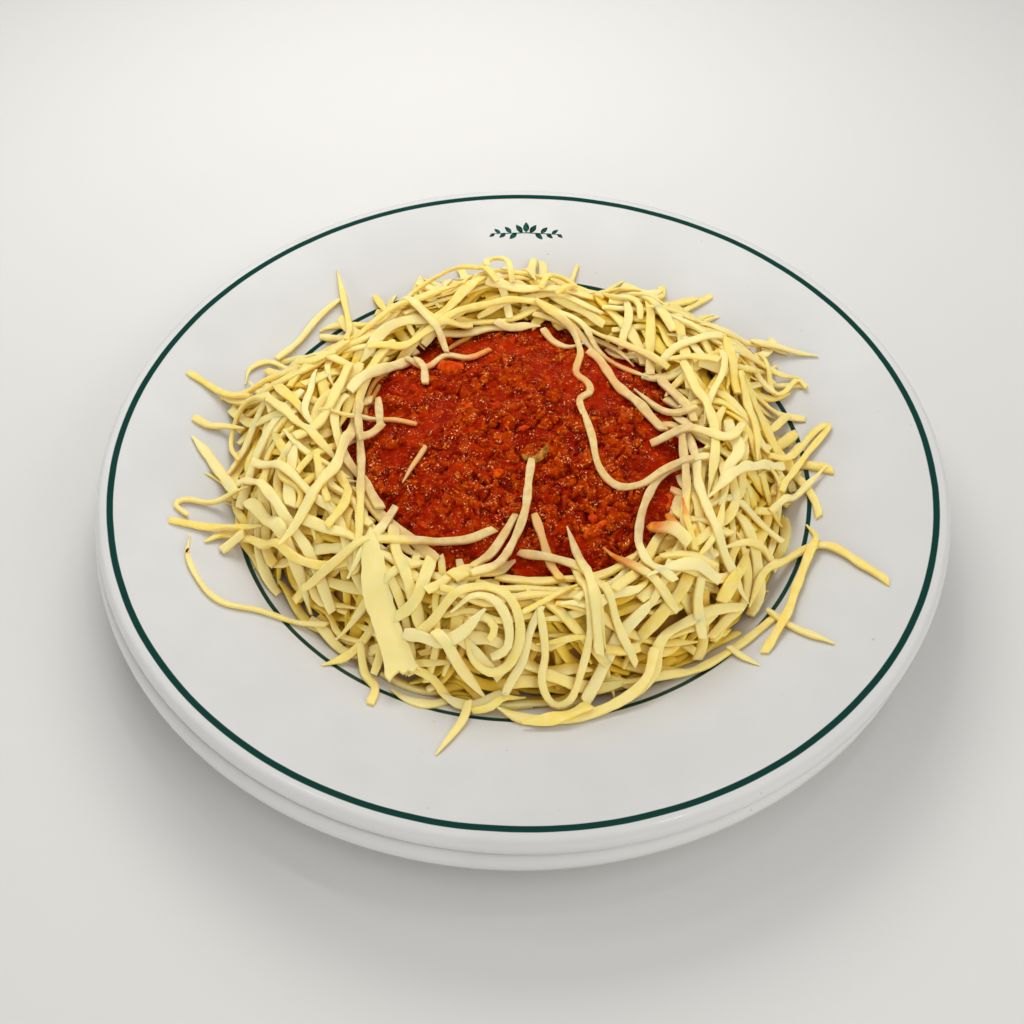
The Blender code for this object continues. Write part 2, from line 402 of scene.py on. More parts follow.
def insideRing(tree, radius, edges, soft):
    # 1 between two radii and 0 elsewhere
    inner = ramp(tree, radius, edges[0] - soft, edges[0] + soft)
    outer = ramp(tree, radius, edges[1] - soft, edges[1] + soft)
    return calculate(tree, "SUBTRACT", inner, outer)


def makePorcelain():
    material, tree, shader = newMaterial("glazedPorcelain")
    place = objectPlace(tree)
    inMillimetres = {0: place, 1: (1 / mm, 1 / mm, 0)}
    flat = addNode(tree, "VectorMath", inMillimetres, operation="MULTIPLY").outputs[0]
    radius = addNode(tree, "VectorMath", {0: flat}, operation="LENGTH").outputs["Value"]
    # the bands were painted by hand on a wheel, so their edges wander a little
    wander = calculate(tree, "MULTIPLY", grain(tree, place, 22, 3.0), 0.5)
    wandering = calculate(tree, "ADD", radius, calculate(tree, "SUBTRACT", wander, 0.25))
    bandSoft, lineSoft = plate["brushSoft"]
    band = insideRing(tree, wandering, plate["band"], bandSoft)
    line = insideRing(tree, wandering, plate["line"], lineSoft)
    painted = calculate(tree, "MAXIMUM", band, line)
    cloudy = ramp(tree, grain(tree, place, 45, 3.0), 0.3, 0.7)
    glaze = mixColours(tree, cloudy, *plate["white"])
    specks = ramp(tree, grain(tree, place, 2.6, 1.0), 0.80, 0.83)
    glaze = layColour(tree, glaze, specks, 0.35, plate["speck"])
    tree.links.new(mixColours(tree, painted, glaze, plate["green"]), shader.inputs["Base Color"])
    rubbed = ramp(tree, grain(tree, place, 14, 5.0), 0.35, 0.75)  # faint wear from forks and washing
    roughness = calculate(tree, "ADD", 0.08, calculate(tree, "MULTIPLY", rubbed, 0.10))
    tree.links.new(roughness, shader.inputs["Roughness"])
    shader.inputs["Specular IOR Level"].default_value = 0.4
    ripple = bump(tree, grain(tree, place, 16, 2.0), 0.5, 0.10)
    tree.links.new(bump(tree, painted, 0.04, 0.3, ripple), shader.inputs["Normal"])
    return material


def makePlates():
    porcelain = makePorcelain()
    for name, node, centre, low, drop in (
        ("upperPlate", "plate", axis, plateLow, 0.0),
        ("lowerPlate", "under_plate", underAxis, underLow, plate["underDrop"]),
    ):
        points, faces = turned(plateProfile(drop), plate["steps"])
        piece = addPiece(name, points, faces, porcelain, (centre.x, centre.y, low.z / mm - drop))
        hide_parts(node)
        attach(piece, "root")


makePlates()
print("plates are turned")


# the heap's shape, read from the frame onto a grid of heights
cell = 0.75                            # mm
gridReach = 150.0
cellCount = int(2 * gridReach / cell)
gridLine = (np.arange(cellCount) + 0.5) * cell - gridReach
gridX, gridY = np.meshgrid(gridLine, gridLine)
gridRadius = np.hypot(gridX, gridY)
plateTop = plateHeight(gridRadius) - bandHeight


def cellOf(value):
    return np.clip(((value + gridReach) / cell).astype(int), 0, cellCount - 1)


def heightAt(grid, x, y):
    return grid[cellOf(y), cellOf(x)]


def blur(grid, cells):
    # a box blur, twice, that wraps at the far edges, where there's nothing
    for direction in (0, 1, 0, 1):
        total = sum(np.roll(grid, shift, direction) for shift in range(-cells, cells + 1))
        grid = total / (2 * cells + 1)
    return grid


def readTop(node):
    # how high a CAD solid's upper side is over each cell, and nan where it isn't
    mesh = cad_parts[node].data
    corners = [vertex.co for vertex in mesh.vertices]
    solid = BVHTree.FromPolygons(corners, [tuple(face.vertices) for face in mesh.polygons])
    low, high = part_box(node)
    top = np.full(gridX.shape, np.nan)
    first, last = [cellOf(np.array(corner) / mm - heapOrigin) for corner in (low, high)]
    down = Vector((0, 0, -1))
    wellOver = 60.0                    # a height in mm that clears the whole heap
    for row in range(first[1], last[1] + 1):
        for column in range(first[0], last[0] + 1):
            start = (np.array((gridLine[column], gridLine[row], wellOver)) + heapOrigin) * mm
            hit = solid.ray_cast(Vector(start), down)[0]
            if hit is not None:
                top[row, column] = hit.z / mm - heapOrigin[2]
    return top


bedTop = readTop("spaghetti")
sauceTop = readTop("bolognese_sauce")
ringTop = readTop("grated_cheese")
overSauce = blur(np.where(np.isnan(sauceTop), 0.0, 1.0), 5)   # 1 over the sauce, 0 well away from it
print("the heap's shape is read from the frame")


def reachOf(top, angles):
    # how far a layer goes out from the middle in each direction
    radii = np.arange(0, gridReach, 0.5)[None, :]
    along = heightAt(top, radii * np.cos(angles)[:, None], radii * np.sin(angles)[:, None])
    return np.where(np.isnan(along), 0.0, radii).max(1)


def smoothRound(values, passes=4):
    for _ in range(passes):
        values = (np.roll(values, 1) + 2 * values + np.roll(values, -1)) / 4
    return values


def filled(top, low):
    return np.where(np.isnan(top), low, top)


def spread(top, cells):
    # carries a layer's edge height further outwards
    for _ in range(cells):
        near = np.stack([np.roll(top, shift, direction) for shift in (-1, 1) for direction in (0, 1)])
        known = ~np.isnan(near)
        count = known.sum(0)
        mean = np.where(known, near, 0).sum(0) / np.maximum(count, 1)
        top = np.where(np.isnan(top) & (count > 0), mean, top)
    return top


def roundCore(inner, outer, topSide, underSide, steps, rows):
    # a closed ring with its top and bottom read from two grids
    angles = np.arange(steps) * 2 * math.pi / steps
    share = np.concatenate([np.linspace(0, 1, rows), np.linspace(1, 0, rows)])
    radii = inner[None, :] + (outer - inner)[None, :] * share[:, None]
    x, y = radii * np.cos(angles), radii * np.sin(angles)
    z = np.concatenate([heightAt(topSide, x[:rows], y[:rows]), heightAt(underSide, x[rows:], y[rows:])])
    z[rows - 1] = (z[rows - 1] + z[rows]) / 2 + 0.2
    points = np.stack([x, y, z], -1).reshape(-1, 3)
    faces = []
    for row in range(2 * rows):
        following = (row + 1) % (2 * rows)
        for i in range(steps):
            j = (i + 1) % steps
            faces.append((row * steps + i, following * steps + i, following * steps + j, row * steps + j))
    return points, faces


# laying strands and shreds on the heap
pile = plateTop.copy()
nowhere = -99                          # a height that never counts


def softened(values):
    padded = np.pad(values, 1, mode="edge")
    return (padded[:-2] + padded[2:] + values) / 3


def sidesOf(x, y):
    runX, runY = np.gradient(x), np.gradient(y)
    run = np.hypot(runX, runY) + 1e-9
    return -runY / run, runX / run


def restOn(x, y, width, thick, stiffness):
    # how high each point of a line lies on the pile, and how far it leans to one side
    sideX, sideY = sidesOf(x, y)
    out = 0.4 * width
    left = heightAt(pile, x - sideX * out, y - sideY * out)
    middle = heightAt(pile, x, y)
    right = heightAt(pile, x + sideX * out, y + sideY * out)
    lean = softened(softened(np.clip((right - left) / (2 * out), -0.9, 0.9))) * 0.8
    support = np.maximum(middle, np.maximum(left + lean * out, right - lean * out)) + thick / 2
    support = softened(support)
    z = support.copy()
    for _ in range(stiffness):
        z = np.maximum(support, softened(z))
    return softened(z), lean


def stamp(x, y, z, lean, width, thick):
    # the laid piece becomes part of the pile
    fine = np.linspace(0, len(x) - 1, len(x) * 4)
    index = np.arange(len(x))
    sideX, sideY = sidesOf(x, y)
    lineX, lineY, lineZ, lineLean, lineWidth, lineSideX, lineSideY = [
        np.interp(fine, index, values)[:, None] for values in (x, y, z, lean, width, sideX, sideY)
    ]
    across = np.linspace(-0.5, 0.5, 9)[None, :] * lineWidth
    rows, columns = cellOf(lineY + lineSideY * across), cellOf(lineX + lineSideX * across)
    np.maximum.at(pile, (rows, columns), lineZ + lineLean * across + thick / 2)


def smoothRoute(route, spacing):
    # a smooth line through a few places, with evenly spaced points
    places = np.array(route, float)
    ends = 2 * places[[0, -1]] - places[[1, -2]]
    knots = np.concatenate([ends[:1], places, ends[1:]])
    t = np.linspace(0, 1, 12, endpoint=False)[:, None]
    pieces = []
    for a, b, c, d in zip(knots, knots[1:], knots[2:], knots[3:]):
        pieces.append(0.5 * (2 * b + (c - a) * t + (2 * a - 5 * b + 4 * c - d) * t**2
                             + (3 * b - a - 3 * c + d) * t**3))
    line = np.concatenate([*pieces, places[-1:]])
    travelled = np.concatenate([[0], np.cumsum(np.hypot(*np.diff(line[:, :2], axis=0).T))])
    count = max(6, int(travelled[-1] / spacing) + 1)
    even = np.linspace(0, travelled[-1], count)
    return np.stack([np.interp(even, travelled, line[:, k]) for k in range(line.shape[1])], -1)


def wanderingLine(draw, middle, heading, length, bend, waver, spacing):
    count = max(6, int(length / spacing))
    t = np.linspace(-0.5, 0.5, count)
    turns, start = draw.uniform(0.7, 2.0), draw.uniform(0, 2 * math.pi)
    angle = heading + bend * t + waver * np.sin(2 * math.pi * turns * t + start)
    step = length / (count - 1)
    x, y = np.cumsum(np.cos(angle)) * step, np.cumsum(np.sin(angle)) * step
    return x - x.mean() + middle[0], y - y.mean() + middle[1]


def roundSection(count):
    angles = np.linspace(0, 2 * math.pi, count, endpoint=False)
    return np.stack([np.cos(angles), np.sin(angles)], -1) / 2


def sweep(section, x, y, z, lean, width, thick, skew=(0.0, 0.0)):
    # a closed strip whose section is (across, up) pairs from -0.5 to 0.5, leaning as told
    centre = np.stack([x, y, z], -1)
    along = np.gradient(centre, axis=0)
    along /= np.linalg.norm(along, axis=1)[:, None] + 1e-9
    sideX, sideY = sidesOf(x, y)
    side = np.stack([sideX, sideY, lean], -1)
    side -= along * (side * along).sum(1)[:, None]
    side /= np.linalg.norm(side, axis=1)[:, None]
    up = np.cross(along, side)
    shift = np.zeros(len(x))
    shift[0], shift[1], shift[-1], shift[-2] = skew[0], skew[0] / 2, skew[1], skew[1] / 2
    across, high = section[:, 0], section[:, 1]
    points = (centre[:, None, :]
              + side[:, None, :] * (across[None, :] * width[:, None])[..., None]
              + up[:, None, :] * (high[None, :] * thick[:, None])[..., None]
              + along[:, None, :] * (across[None, :] * (width * shift)[:, None])[..., None])
    return points.reshape(-1, 3), tubeFaces(len(x), len(section))


# the bed of pasta
pasta = {
    "seed": 31,
    "coreSink": 7.0,                   # how far the core lies under the bed's outline
    "coreBack": 2.0,                   # and how far inside it
    "coreReach": 84.0,
    "coreSteps": 120,
    "pinhole": 0.5,                    # in the core's middle, well under the sauce
    "strands": 70,
    "thick": 2.0,
    "length": (70, 150),
    "radii": (38, 72),
    "turning": 0.35,                   # how far the strands stray from going round
    "curling": (0.6, 1.3),             # 1 would follow the ring
    "waver": 0.3,
    "spacing": 3.2,
    "clean": (colour(204, 150, 60), colour(222, 178, 88)),
    "stained": colour(206, 104, 36),
}


def makePastaMaterial():
    material, tree, shader = newMaterial("cookedPasta")
    place = objectPlace(tree)
    stain, tone = readMarks(tree, "nearSauce", "tone")
    clean = mixColours(tree, tone, *pasta["clean"])
    patches = ramp(tree, grain(tree, place, 4, 3.0), 0.3, 0.6)
    tree.links.new(layColour(tree, clean, stain, patches, pasta["stained"]), shader.inputs["Base Color"])
    shader.inputs["Roughness"].default_value = 0.28
    letLightIn(shader, 0.25, (1.4, 0.8, 0.3))
    tree.links.new(bump(tree, grain(tree, place, 0.7, 3.0), 0.08, 0.4), shader.inputs["Normal"])
    return material


def makePasta():
    draw = np.random.default_rng(pasta["seed"])
    steps = pasta["coreSteps"]
    angles = np.arange(steps) * 2 * math.pi / steps
    outer = np.minimum(smoothRound(reachOf(bedTop, angles)) - pasta["coreBack"], pasta["coreReach"])
    core = blur(filled(bedTop, -10.0), 2) - pasta["coreSink"]
    core = np.maximum(core, plateTop + 1.0)
    patches = [roundCore(np.full(steps, pasta["pinhole"]), outer, core, plateTop + 0.6, steps, 30)]
    np.maximum(pile, np.where(gridRadius > pasta["coreReach"], nowhere, core), out=pile)
    section = roundSection(6)
    tones = [np.full(len(patches[0][0]), 0.3)]
    for _ in range(pasta["strands"]):
        length = draw.uniform(*pasta["length"])
        radius, angle = draw.uniform(*pasta["radii"]), draw.uniform(0, 2 * math.pi)
        heading = angle + math.pi / 2 + draw.normal(0, pasta["turning"])
        bend = length / radius * draw.uniform(*pasta["curling"])
        middle = (radius * math.cos(angle), radius * math.sin(angle))
        x, y = wanderingLine(draw, middle, heading, length, bend, pasta["waver"], pasta["spacing"])
        limit = np.minimum(1, (pasta["coreReach"] - 2) / np.hypot(x, y))
        x, y = x * limit, y * limit
        width = np.full(len(x), pasta["thick"])
        z, lean = restOn(x, y, width, pasta["thick"], 3)
        stamp(x, y, z, lean, width, pasta["thick"])
        patches.append(sweep(section, x, y, z, lean * 0, width, width))
        tones.append(np.full(len(patches[-1][0]), draw.random()))
    points, faces = joinedPatches(patches)
    marks = {"tone": np.concatenate(tones), "nearSauce": heightAt(overSauce, points[:, 0], points[:, 1])}
    piece = addPiece("pastaStrands", points, faces, makePastaMaterial(), marks=marks)
    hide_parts("spaghetti")
    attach(piece, "root")


makePasta()
print("pasta is laid")


# the meat and tomato sauce
sauce = {
    "squares": 270,                    # points along each side of the sheet
    "clump": (8.0, 1.7),               # size and height, mm
    "mince": (3.4, 1.7),
    "crumb": (1.4, 0.75),
    "sink": 1.3,                       # how deep the grains are set into the mound
    "lumps": 300,
    "lumpSize": (0.8, 2.1),
    "lumpSeed": 7,
    "widest": 58,                      # how far from the middle lumps are tried
    "underCheese": 9.0,                # how far the sauce runs on under the cheese, mm
    "rimFrom": 0.93,                   # where the sheet turns down, as a share of its radius
    "rimDrop": 1.5,
    "red": (colour(132, 9, 0), colour(182, 40, 0)),
    "liquid": colour(144, 14, 0),
    "meat": (colour(138, 18, 0), colour(192, 68, 2)),
    "mottling": colour(150, 22, 0),
    "oil": colour(204, 72, 0),
    # painted shade for the hollows between the grains
    "hollowShade": colour(84, 6, 0),
    # painted highlights on the meat
    "goldenHighlight": colour(232, 140, 36),
    # painted glints, pale dots in clusters
    "paintedGlint": colour(254, 190, 128),
}


sauceMarks = ("meat", "tone", "wet", "hollowShade")


def sauceRelief(x, y):
    # the mince's heights over the mound, how meaty each place is, its grain's tone, how wet
    # it is and how deep it lies between the grains, where it is darkened as painted shade
    warpX = x + 1.9 * cloudNoise(x, y, 3.4, 41) + 0.7 * cloudNoise(x, y, 1.5, 42)
    warpY = y + 1.9 * cloudNoise(x, y, 3.4, 43) + 0.7 * cloudNoise(x, y, 1.5, 44)
    clumpNear, clumpTone = cellNoise(warpX, warpY, sauce["clump"][0], 45)
    minceNear, minceTone = cellNoise(warpX, warpY, sauce["mince"][0], 46)
    crumbNear, crumbTone = cellNoise(warpX, warpY, sauce["crumb"][0], 47)
    meatiness = cloudNoise(x, y, 13, 48) + 0.6 * cloudNoise(x, y, 6, 49) + 0.5 * (clumpTone - 0.5)
    meat = easeStep(meatiness, -0.65, 0.20)
    clump = sauce["clump"][1] * easeStep(1 - clumpNear, 0.2, 0.8) * (0.3 + 0.7 * clumpTone)
    mince = np.sqrt(np.clip(1 - (minceNear / 0.60) ** 2, 0, 1)) * (0.25 + 0.75 * minceTone)
    crumb = np.sqrt(np.clip(1 - (crumbNear / 0.62) ** 2, 0, 1)) * (0.3 + 0.7 * crumbTone)
    raw = clump + meat * (sauce["mince"][1] * mince + sauce["crumb"][1] * crumb)
    raw += 0.25 * cloudNoise(x, y, 1.6, 50) * meat + 0.1 * cloudNoise(x, y, 0.9, 51)
    level = 0.60 + 0.40 * cloudNoise(x, y, 9, 52)      # of the liquid between the grains
    softness = 0.10
    height = level + softness * np.logaddexp(0, (raw - level) / softness)
    wet = 1 - easeStep(raw - level, -0.05, 0.45)
    hollowShade = easeStep(minceNear, 0.42, 0.62) * easeStep(crumbNear, 0.30, 0.55) * meat
    height = height - sauce["sink"] - 0.5 * hollowShade
    tone = minceTone * 0.6 + crumbTone * 0.4
    return height, meat * easeStep(mince, 0.2, 0.8), tone, wet, hollowShade


def makeSauceMaterial():
    material, tree, shader = newMaterial("bologneseSauce")
    place = objectPlace(tree)
    meat, tone, wet, hollowShade = readMarks(tree, *sauceMarks)
    cloudy = ramp(tree, grain(tree, place, 7, 3.0), 0.35, 0.65)
    red = mixColours(tree, cloudy, *sauce["red"])
    red = layColour(tree, red, wet, 0.5, sauce["liquid"])
    minceColour = mixColours(tree, ramp(tree, tone, 0.2, 0.8), *sauce["meat"])
    mottled = ramp(tree, grain(tree, place, 1.8, 4.0), 0.42, 0.58)
    minceColour = layColour(tree, minceColour, mottled, 0.6, sauce["mottling"])
    body = mixColours(tree, meat, red, minceColour)
    oil = ramp(tree, grain(tree, place, 3.2, 4.0), 0.56, 0.66)
    body = layColour(tree, body, oil, 0.5, sauce["oil"])
    # painted shade in the hollows between the grains
    body = layColour(tree, body, hollowShade, 0.8, sauce["hollowShade"])
    # painted highlights: golden spots on the meat, and pale glints in clusters, fewer where the liquid is
    # smooth
    goldenHighlight = ramp(tree, grain(tree, place, 1.2, 2.0), 0.60, 0.66)
    meatiest = calculate(tree, "ADD", 0.15, calculate(tree, "MULTIPLY", meat, 0.6))
    body = layColour(tree, body, goldenHighlight, meatiest, sauce["goldenHighlight"])
    dots = ramp(tree, grain(tree, place, 0.72, 1.0), 0.62, 0.68)
    clusters = ramp(tree, grain(tree, place, 4.5, 3.0), 0.50, 0.58)
    smooth = calculate(tree, "MULTIPLY", wet, 0.7)
    clusters = calculate(tree, "MULTIPLY", clusters, calculate(tree, "SUBTRACT", 1.0, smooth))
    tree.links.new(layColour(tree, body, dots, clusters, sauce["paintedGlint"]), shader.inputs["Base Color"])
    uneven = ramp(tree, grain(tree, place, 1.4, 3.0), 0.3, 0.7)
    roughness = calculate(tree, "ADD", 0.08, calculate(tree, "MULTIPLY", uneven, 0.10))
    tree.links.new(roughness, shader.inputs["Roughness"])
    shader.inputs["Specular IOR Level"].default_value = 0.28
    shader.inputs["Specular Tint"].default_value = (1.0, 0.35, 0.15, 1.0)
    fine = bump(tree, grain(tree, place, 0.6, 3.0), 0.4, 0.9)
    tree.links.new(bump(tree, grain(tree, place, 1.6, 2.0), 0.8, 0.9, fine), shader.inputs["Normal"])
    return material


def mound(x, y):
    # the mound's height, softly rounded over the frame's facets
    return heightAt(softSauce, x, y)


softSauce = blur(filled(spread(sauceTop, 16), 1.5), 2)
sauceMaterial = makeSauceMaterial()


def makeSauce():
    count = sauce["squares"]
    line = np.linspace(-1, 1, count)
    a, b = np.meshgrid(line, line)         # a square sheet of points, rounded into a disc
    u, v = a * np.sqrt(1 - b * b / 2), b * np.sqrt(1 - a * a / 2)
    directions = np.linspace(-math.pi, math.pi, 181)
    reach = smoothRound(reachOf(sauceTop, directions[:-1]), 6)
    here = np.interp(np.arctan2(v, u), directions, np.append(reach, reach[0]))
    x, y = u * (here + sauce["underCheese"]), v * (here + sauce["underCheese"])
    height, meat, tone, wet, hollowShade = sauceRelief(x, y)
    rim = easeStep(np.hypot(u, v), sauce["rimFrom"], 1.0)
    z = mound(x, y) + height * (1 - rim) - sauce["rimDrop"] * rim
    top = np.stack([x, y, z], -1).reshape(-1, 3)
    faces = gridFaces(count, count)
    rimPoints = gridRim(count, count)
    below = top[rimPoints].copy()
    below[:, 2] = heightAt(filled(bedTop, 0.0), below[:, 0], below[:, 1]) - 0.4
    start = len(top)
    for i in range(len(rimPoints)):
        j = (i + 1) % len(rimPoints)
        faces.append((rimPoints[j], rimPoints[i], start + i, start + j))
    faces.append(tuple(range(start, start + len(rimPoints)))[::-1])
    onTop = (meat, tone, wet, hollowShade)
    marks = {name: np.append(values.ravel(), np.zeros(len(rimPoints)))
             for name, values in zip(sauceMarks, onTop)}
    piece = addPiece("sauceMound", np.concatenate([top, below]), faces, sauceMaterial, marks=marks)
    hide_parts("bolognese_sauce")
    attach(piece, "root")
    np.maximum.at(pile, (cellOf(y), cellOf(x)), z)


def lumpPatch(draw, middle, size, flat, detail):
    # a rough lump: a ball pushed in and out by noise
    builder = bmesh.new()
    bmesh.ops.create_icosphere(builder, subdivisions=detail, radius=1.0)
    points = np.array([vertex.co for vertex in builder.verts])
    faces = [tuple(v.index for v in face.verts) for face in builder.faces]
    builder.free()
    shift = draw.uniform(0, 40, 3)
    swell = [1 + 0.6 * noise.noise(Vector(p * 1.2 + shift)) + 0.4 * noise.noise(Vector(p * 2.7 + shift))
             for p in points]
    stretch = np.array([size * draw.uniform(0.8, 1.8), size * draw.uniform(0.7, 1.0), size * flat])
    points = points * np.array(swell)[:, None] * stretch
    turn = draw.uniform(0, math.pi)
    tilt = Matrix.Rotation(turn, 3, "Z") @ Matrix.Rotation(draw.normal(0, 0.3), 3, "X")
    return points @ np.array(tilt).T + middle, faces


def makeMinceLumps():
    draw = np.random.default_rng(sauce["lumpSeed"])
    patches, tones = [], []
    while len(patches) < sauce["lumps"]:
        place = draw.uniform(-sauce["widest"], sauce["widest"], 2)
        if heightAt(overSauce, place[:1], place[1:])[0] < 0.9:
            continue
        relief, meat = sauceRelief(place[:1], place[1:])[:2]
        if meat[0] + draw.uniform(0, 0.5) < 0.45:
            continue
        size = draw.uniform(*sauce["lumpSize"])
        height = mound(place[:1], place[1:])[0] + relief[0] - 0.35 * size
        patches.append(lumpPatch(draw, np.array([*place, height]), size, 0.62, 2))
        tones.append(np.full(len(patches[-1][0]), draw.random()))
    points, faces = joinedPatches(patches)
    everywhere = np.ones(len(points))
    marks = {"meat": everywhere, "tone": np.concatenate(tones)}
    piece = addPiece("minceLumps", points, faces, sauceMaterial, marks=marks)
    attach(piece, "root")


vegetables = {
    "seed": 19,
    "bits": 26,                        # besides the bigger ones that are placed below
    "widest": 56,
    "size": (1.2, 3.0),
    "soft": (colour(196, 44, 0), colour(226, 92, 4)),
    "ripe": (colour(156, 14, 0), colour(192, 38, 0)),
}
# the bigger pieces of carrot: place and size, mm
carrots = {
    "byTheBranch": (-27, 33, 6.0),
    "upperLeft": (-21, 14, 5.0),
    "middle": (-15, -17, 4.2),
    "middleRight": (-9, -18, 4.6),
    "lowerRight": (25, -39, 6.4),
    "farRight": (52, -23, 5.6),
}


def makeVegetableMaterial():
    material, tree, shader = newMaterial("stewedVegetables")
    place = objectPlace(tree)
    [tone] = readMarks(tree, "tone")
    mottled = ramp(tree, grain(tree, place, 1.6, 3.0), 0.3, 0.7)
    soft = mixColours(tree, mottled, *vegetables["soft"])
    ripe = mixColours(tree, mottled, *vegetables["ripe"])
    tree.links.new(mixColours(tree, tone, soft, ripe), shader.inputs["Base Color"])
    shader.inputs["Roughness"].default_value = 0.2
    shader.inputs["Specular IOR Level"].default_value = 0.4
    shader.inputs["Specular Tint"].default_value = (1.0, 0.6, 0.4, 1.0)
    letLightIn(shader, 0.2, (1.5, 0.5, 0.2))
    tree.links.new(bump(tree, grain(tree, place, 0.8, 3.0), 0.12, 0.5), shader.inputs["Normal"])
    return material


def makeVegetableBits():
    draw = np.random.default_rng(vegetables["seed"])
    patches, tones = [], []
    shown = [(x, y, size, 0.0) for x, y, size in carrots.values()]
    while len(shown) < len(carrots) + vegetables["bits"]:
        x, y = draw.uniform(-vegetables["widest"], vegetables["widest"], 2)
        if heightAt(overSauce, np.array([x]), np.array([y]))[0] > 0.92:
            shown.append((x, y, draw.uniform(*vegetables["size"]), draw.uniform(0.3, 1.0)))
    for x, y, size, tone in shown:
        place = np.array([x]), np.array([y])
        height = mound(*place)[0] + sauceRelief(*place)[0][0] - 0.12 * size
        patches.append(lumpPatch(draw, np.array([x, y, height]), size * 0.62, 0.5, 3))
        tones.append(np.full(len(patches[-1][0]), tone))
    points, faces = joinedPatches(patches)
    marks = {"tone": np.concatenate(tones)}
    piece = addPiece("vegetableBits", points, faces, makeVegetableMaterial(), marks=marks)
    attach(piece, "root")


mushroom = {
    "route": ((-0.5, -10.5), (2.5, -12.5), (5.5, -11.5), (8.0, -7.5), (8.3, -5.5)),
    "width": 3.0,
    "thick": 2.2,
    "rise": 1.2,                       # over the sauce
    "lean": 0.3,
    "skin": (colour(128, 76, 10), colour(196, 132, 44)),
}


def makeMushroom():
    # one curved slice on the mound
    material, tree, shader = newMaterial("stewedMushroom")
    place = objectPlace(tree)
    mottled = ramp(tree, grain(tree, place, 1.4, 3.0), 0.3, 0.7)
    tree.links.new(mixColours(tree, mottled, *mushroom["skin"]), shader.inputs["Base Color"])
    shader.inputs["Roughness"].default_value = 0.25
    tree.links.new(bump(tree, grain(tree, place, 0.8, 3.0), 0.15, 0.6), shader.inputs["Normal"])
    x, y = smoothRoute(mushroom["route"], 1.0).T
    share = np.sin(math.pi * np.linspace(0.06, 0.94, len(x))) ** 0.6
    z = np.full(len(x), mound(x, y).mean() + mushroom["rise"])
    lean = np.full(len(x), mushroom["lean"])
    widths, thicks = mushroom["width"] * share, mushroom["thick"] * share
    points, faces = sweep(roundSection(10), x, y, z, lean, widths, thicks)
    piece = addPiece("mushroomSlice", points, faces, material)
    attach(piece, "root")


makeSauce()
makeMinceLumps()
makeVegetableBits()
makeMushroom()
print("sauce is spooned on")


# the grated cheese
cheese = {
    "seed": 53,
    "coreSink": 4.5,                   # how far the core lies under the shreds
    "coreBack": 8.0,                   # and how far back from their verge
    "coreInside": 66.0,                # radius of its inner side, under the sauce's edge
    "coreSteps": 150,
    "underShreds": 700,                # at most; the goal's height usually stops them first
    "topShreds": 500,
    "underRoom": 2.2,                  # mm that the lower shreds leave for those on top
    "topRise": 1.0,                    # how far those on top may stand over the goal
    "leastHeap": 2.4,                  # the goal's least height over the plate
    "longRoom": 1.2,                   # mm kept free for each of the longer shreds below
    "bareFirst": 1.6,                  # how strongly bare places draw shreds
    "leastRoom": -0.7,                 # mm, how far a shred may stand over the goal
    "tries": 10,                       # places looked at for each shred; the emptiest wins
    "patience": 90,                    # shreds that find no place before the ring is full
    "radii": (56, 112),
    "goingRound": 0.75,                # share of the shreds that follow the ring
    "strays": 0.10,                    # share of the shreds that may stick out
    "strayRadii": (86, 102),
    "strayLength": 34,                 # at most
    "straySide": (-0.1, 3.3),          # radians; none stick out at the front
    "length": (22, 68),
    "usualWidth": (3.1, 0.65),         # and how much it varies
    "width": (1.8, 4.2),
    "thick": (1.10, 1.75),
    "twist": (0.16, 0.10),             # along a shred, and from one to the next
    "skew": 0.35,                      # how slanted the cut ends are
    "ends": {"blunt": 0.50, "point": 0.36, "points": 0.14},
    "narrowing": 0.88,                 # for the widths of the longer shreds below
    "spacing": 2.4,
    "highest": 18.2,                   # over the band, inside the frame's box
    "pale": (colour(253, 233, 164), colour(252, 218, 108)),
    "milky": colour(250, 236, 184),
    # painted shade, for deep in the heap and the shreds' undersides
    "paintedShade": colour(240, 199, 50),
    "warm": (colour(230, 204, 156), colour(212, 178, 116)),
    "stained": (colour(220, 104, 24), colour(238, 158, 60)),
}

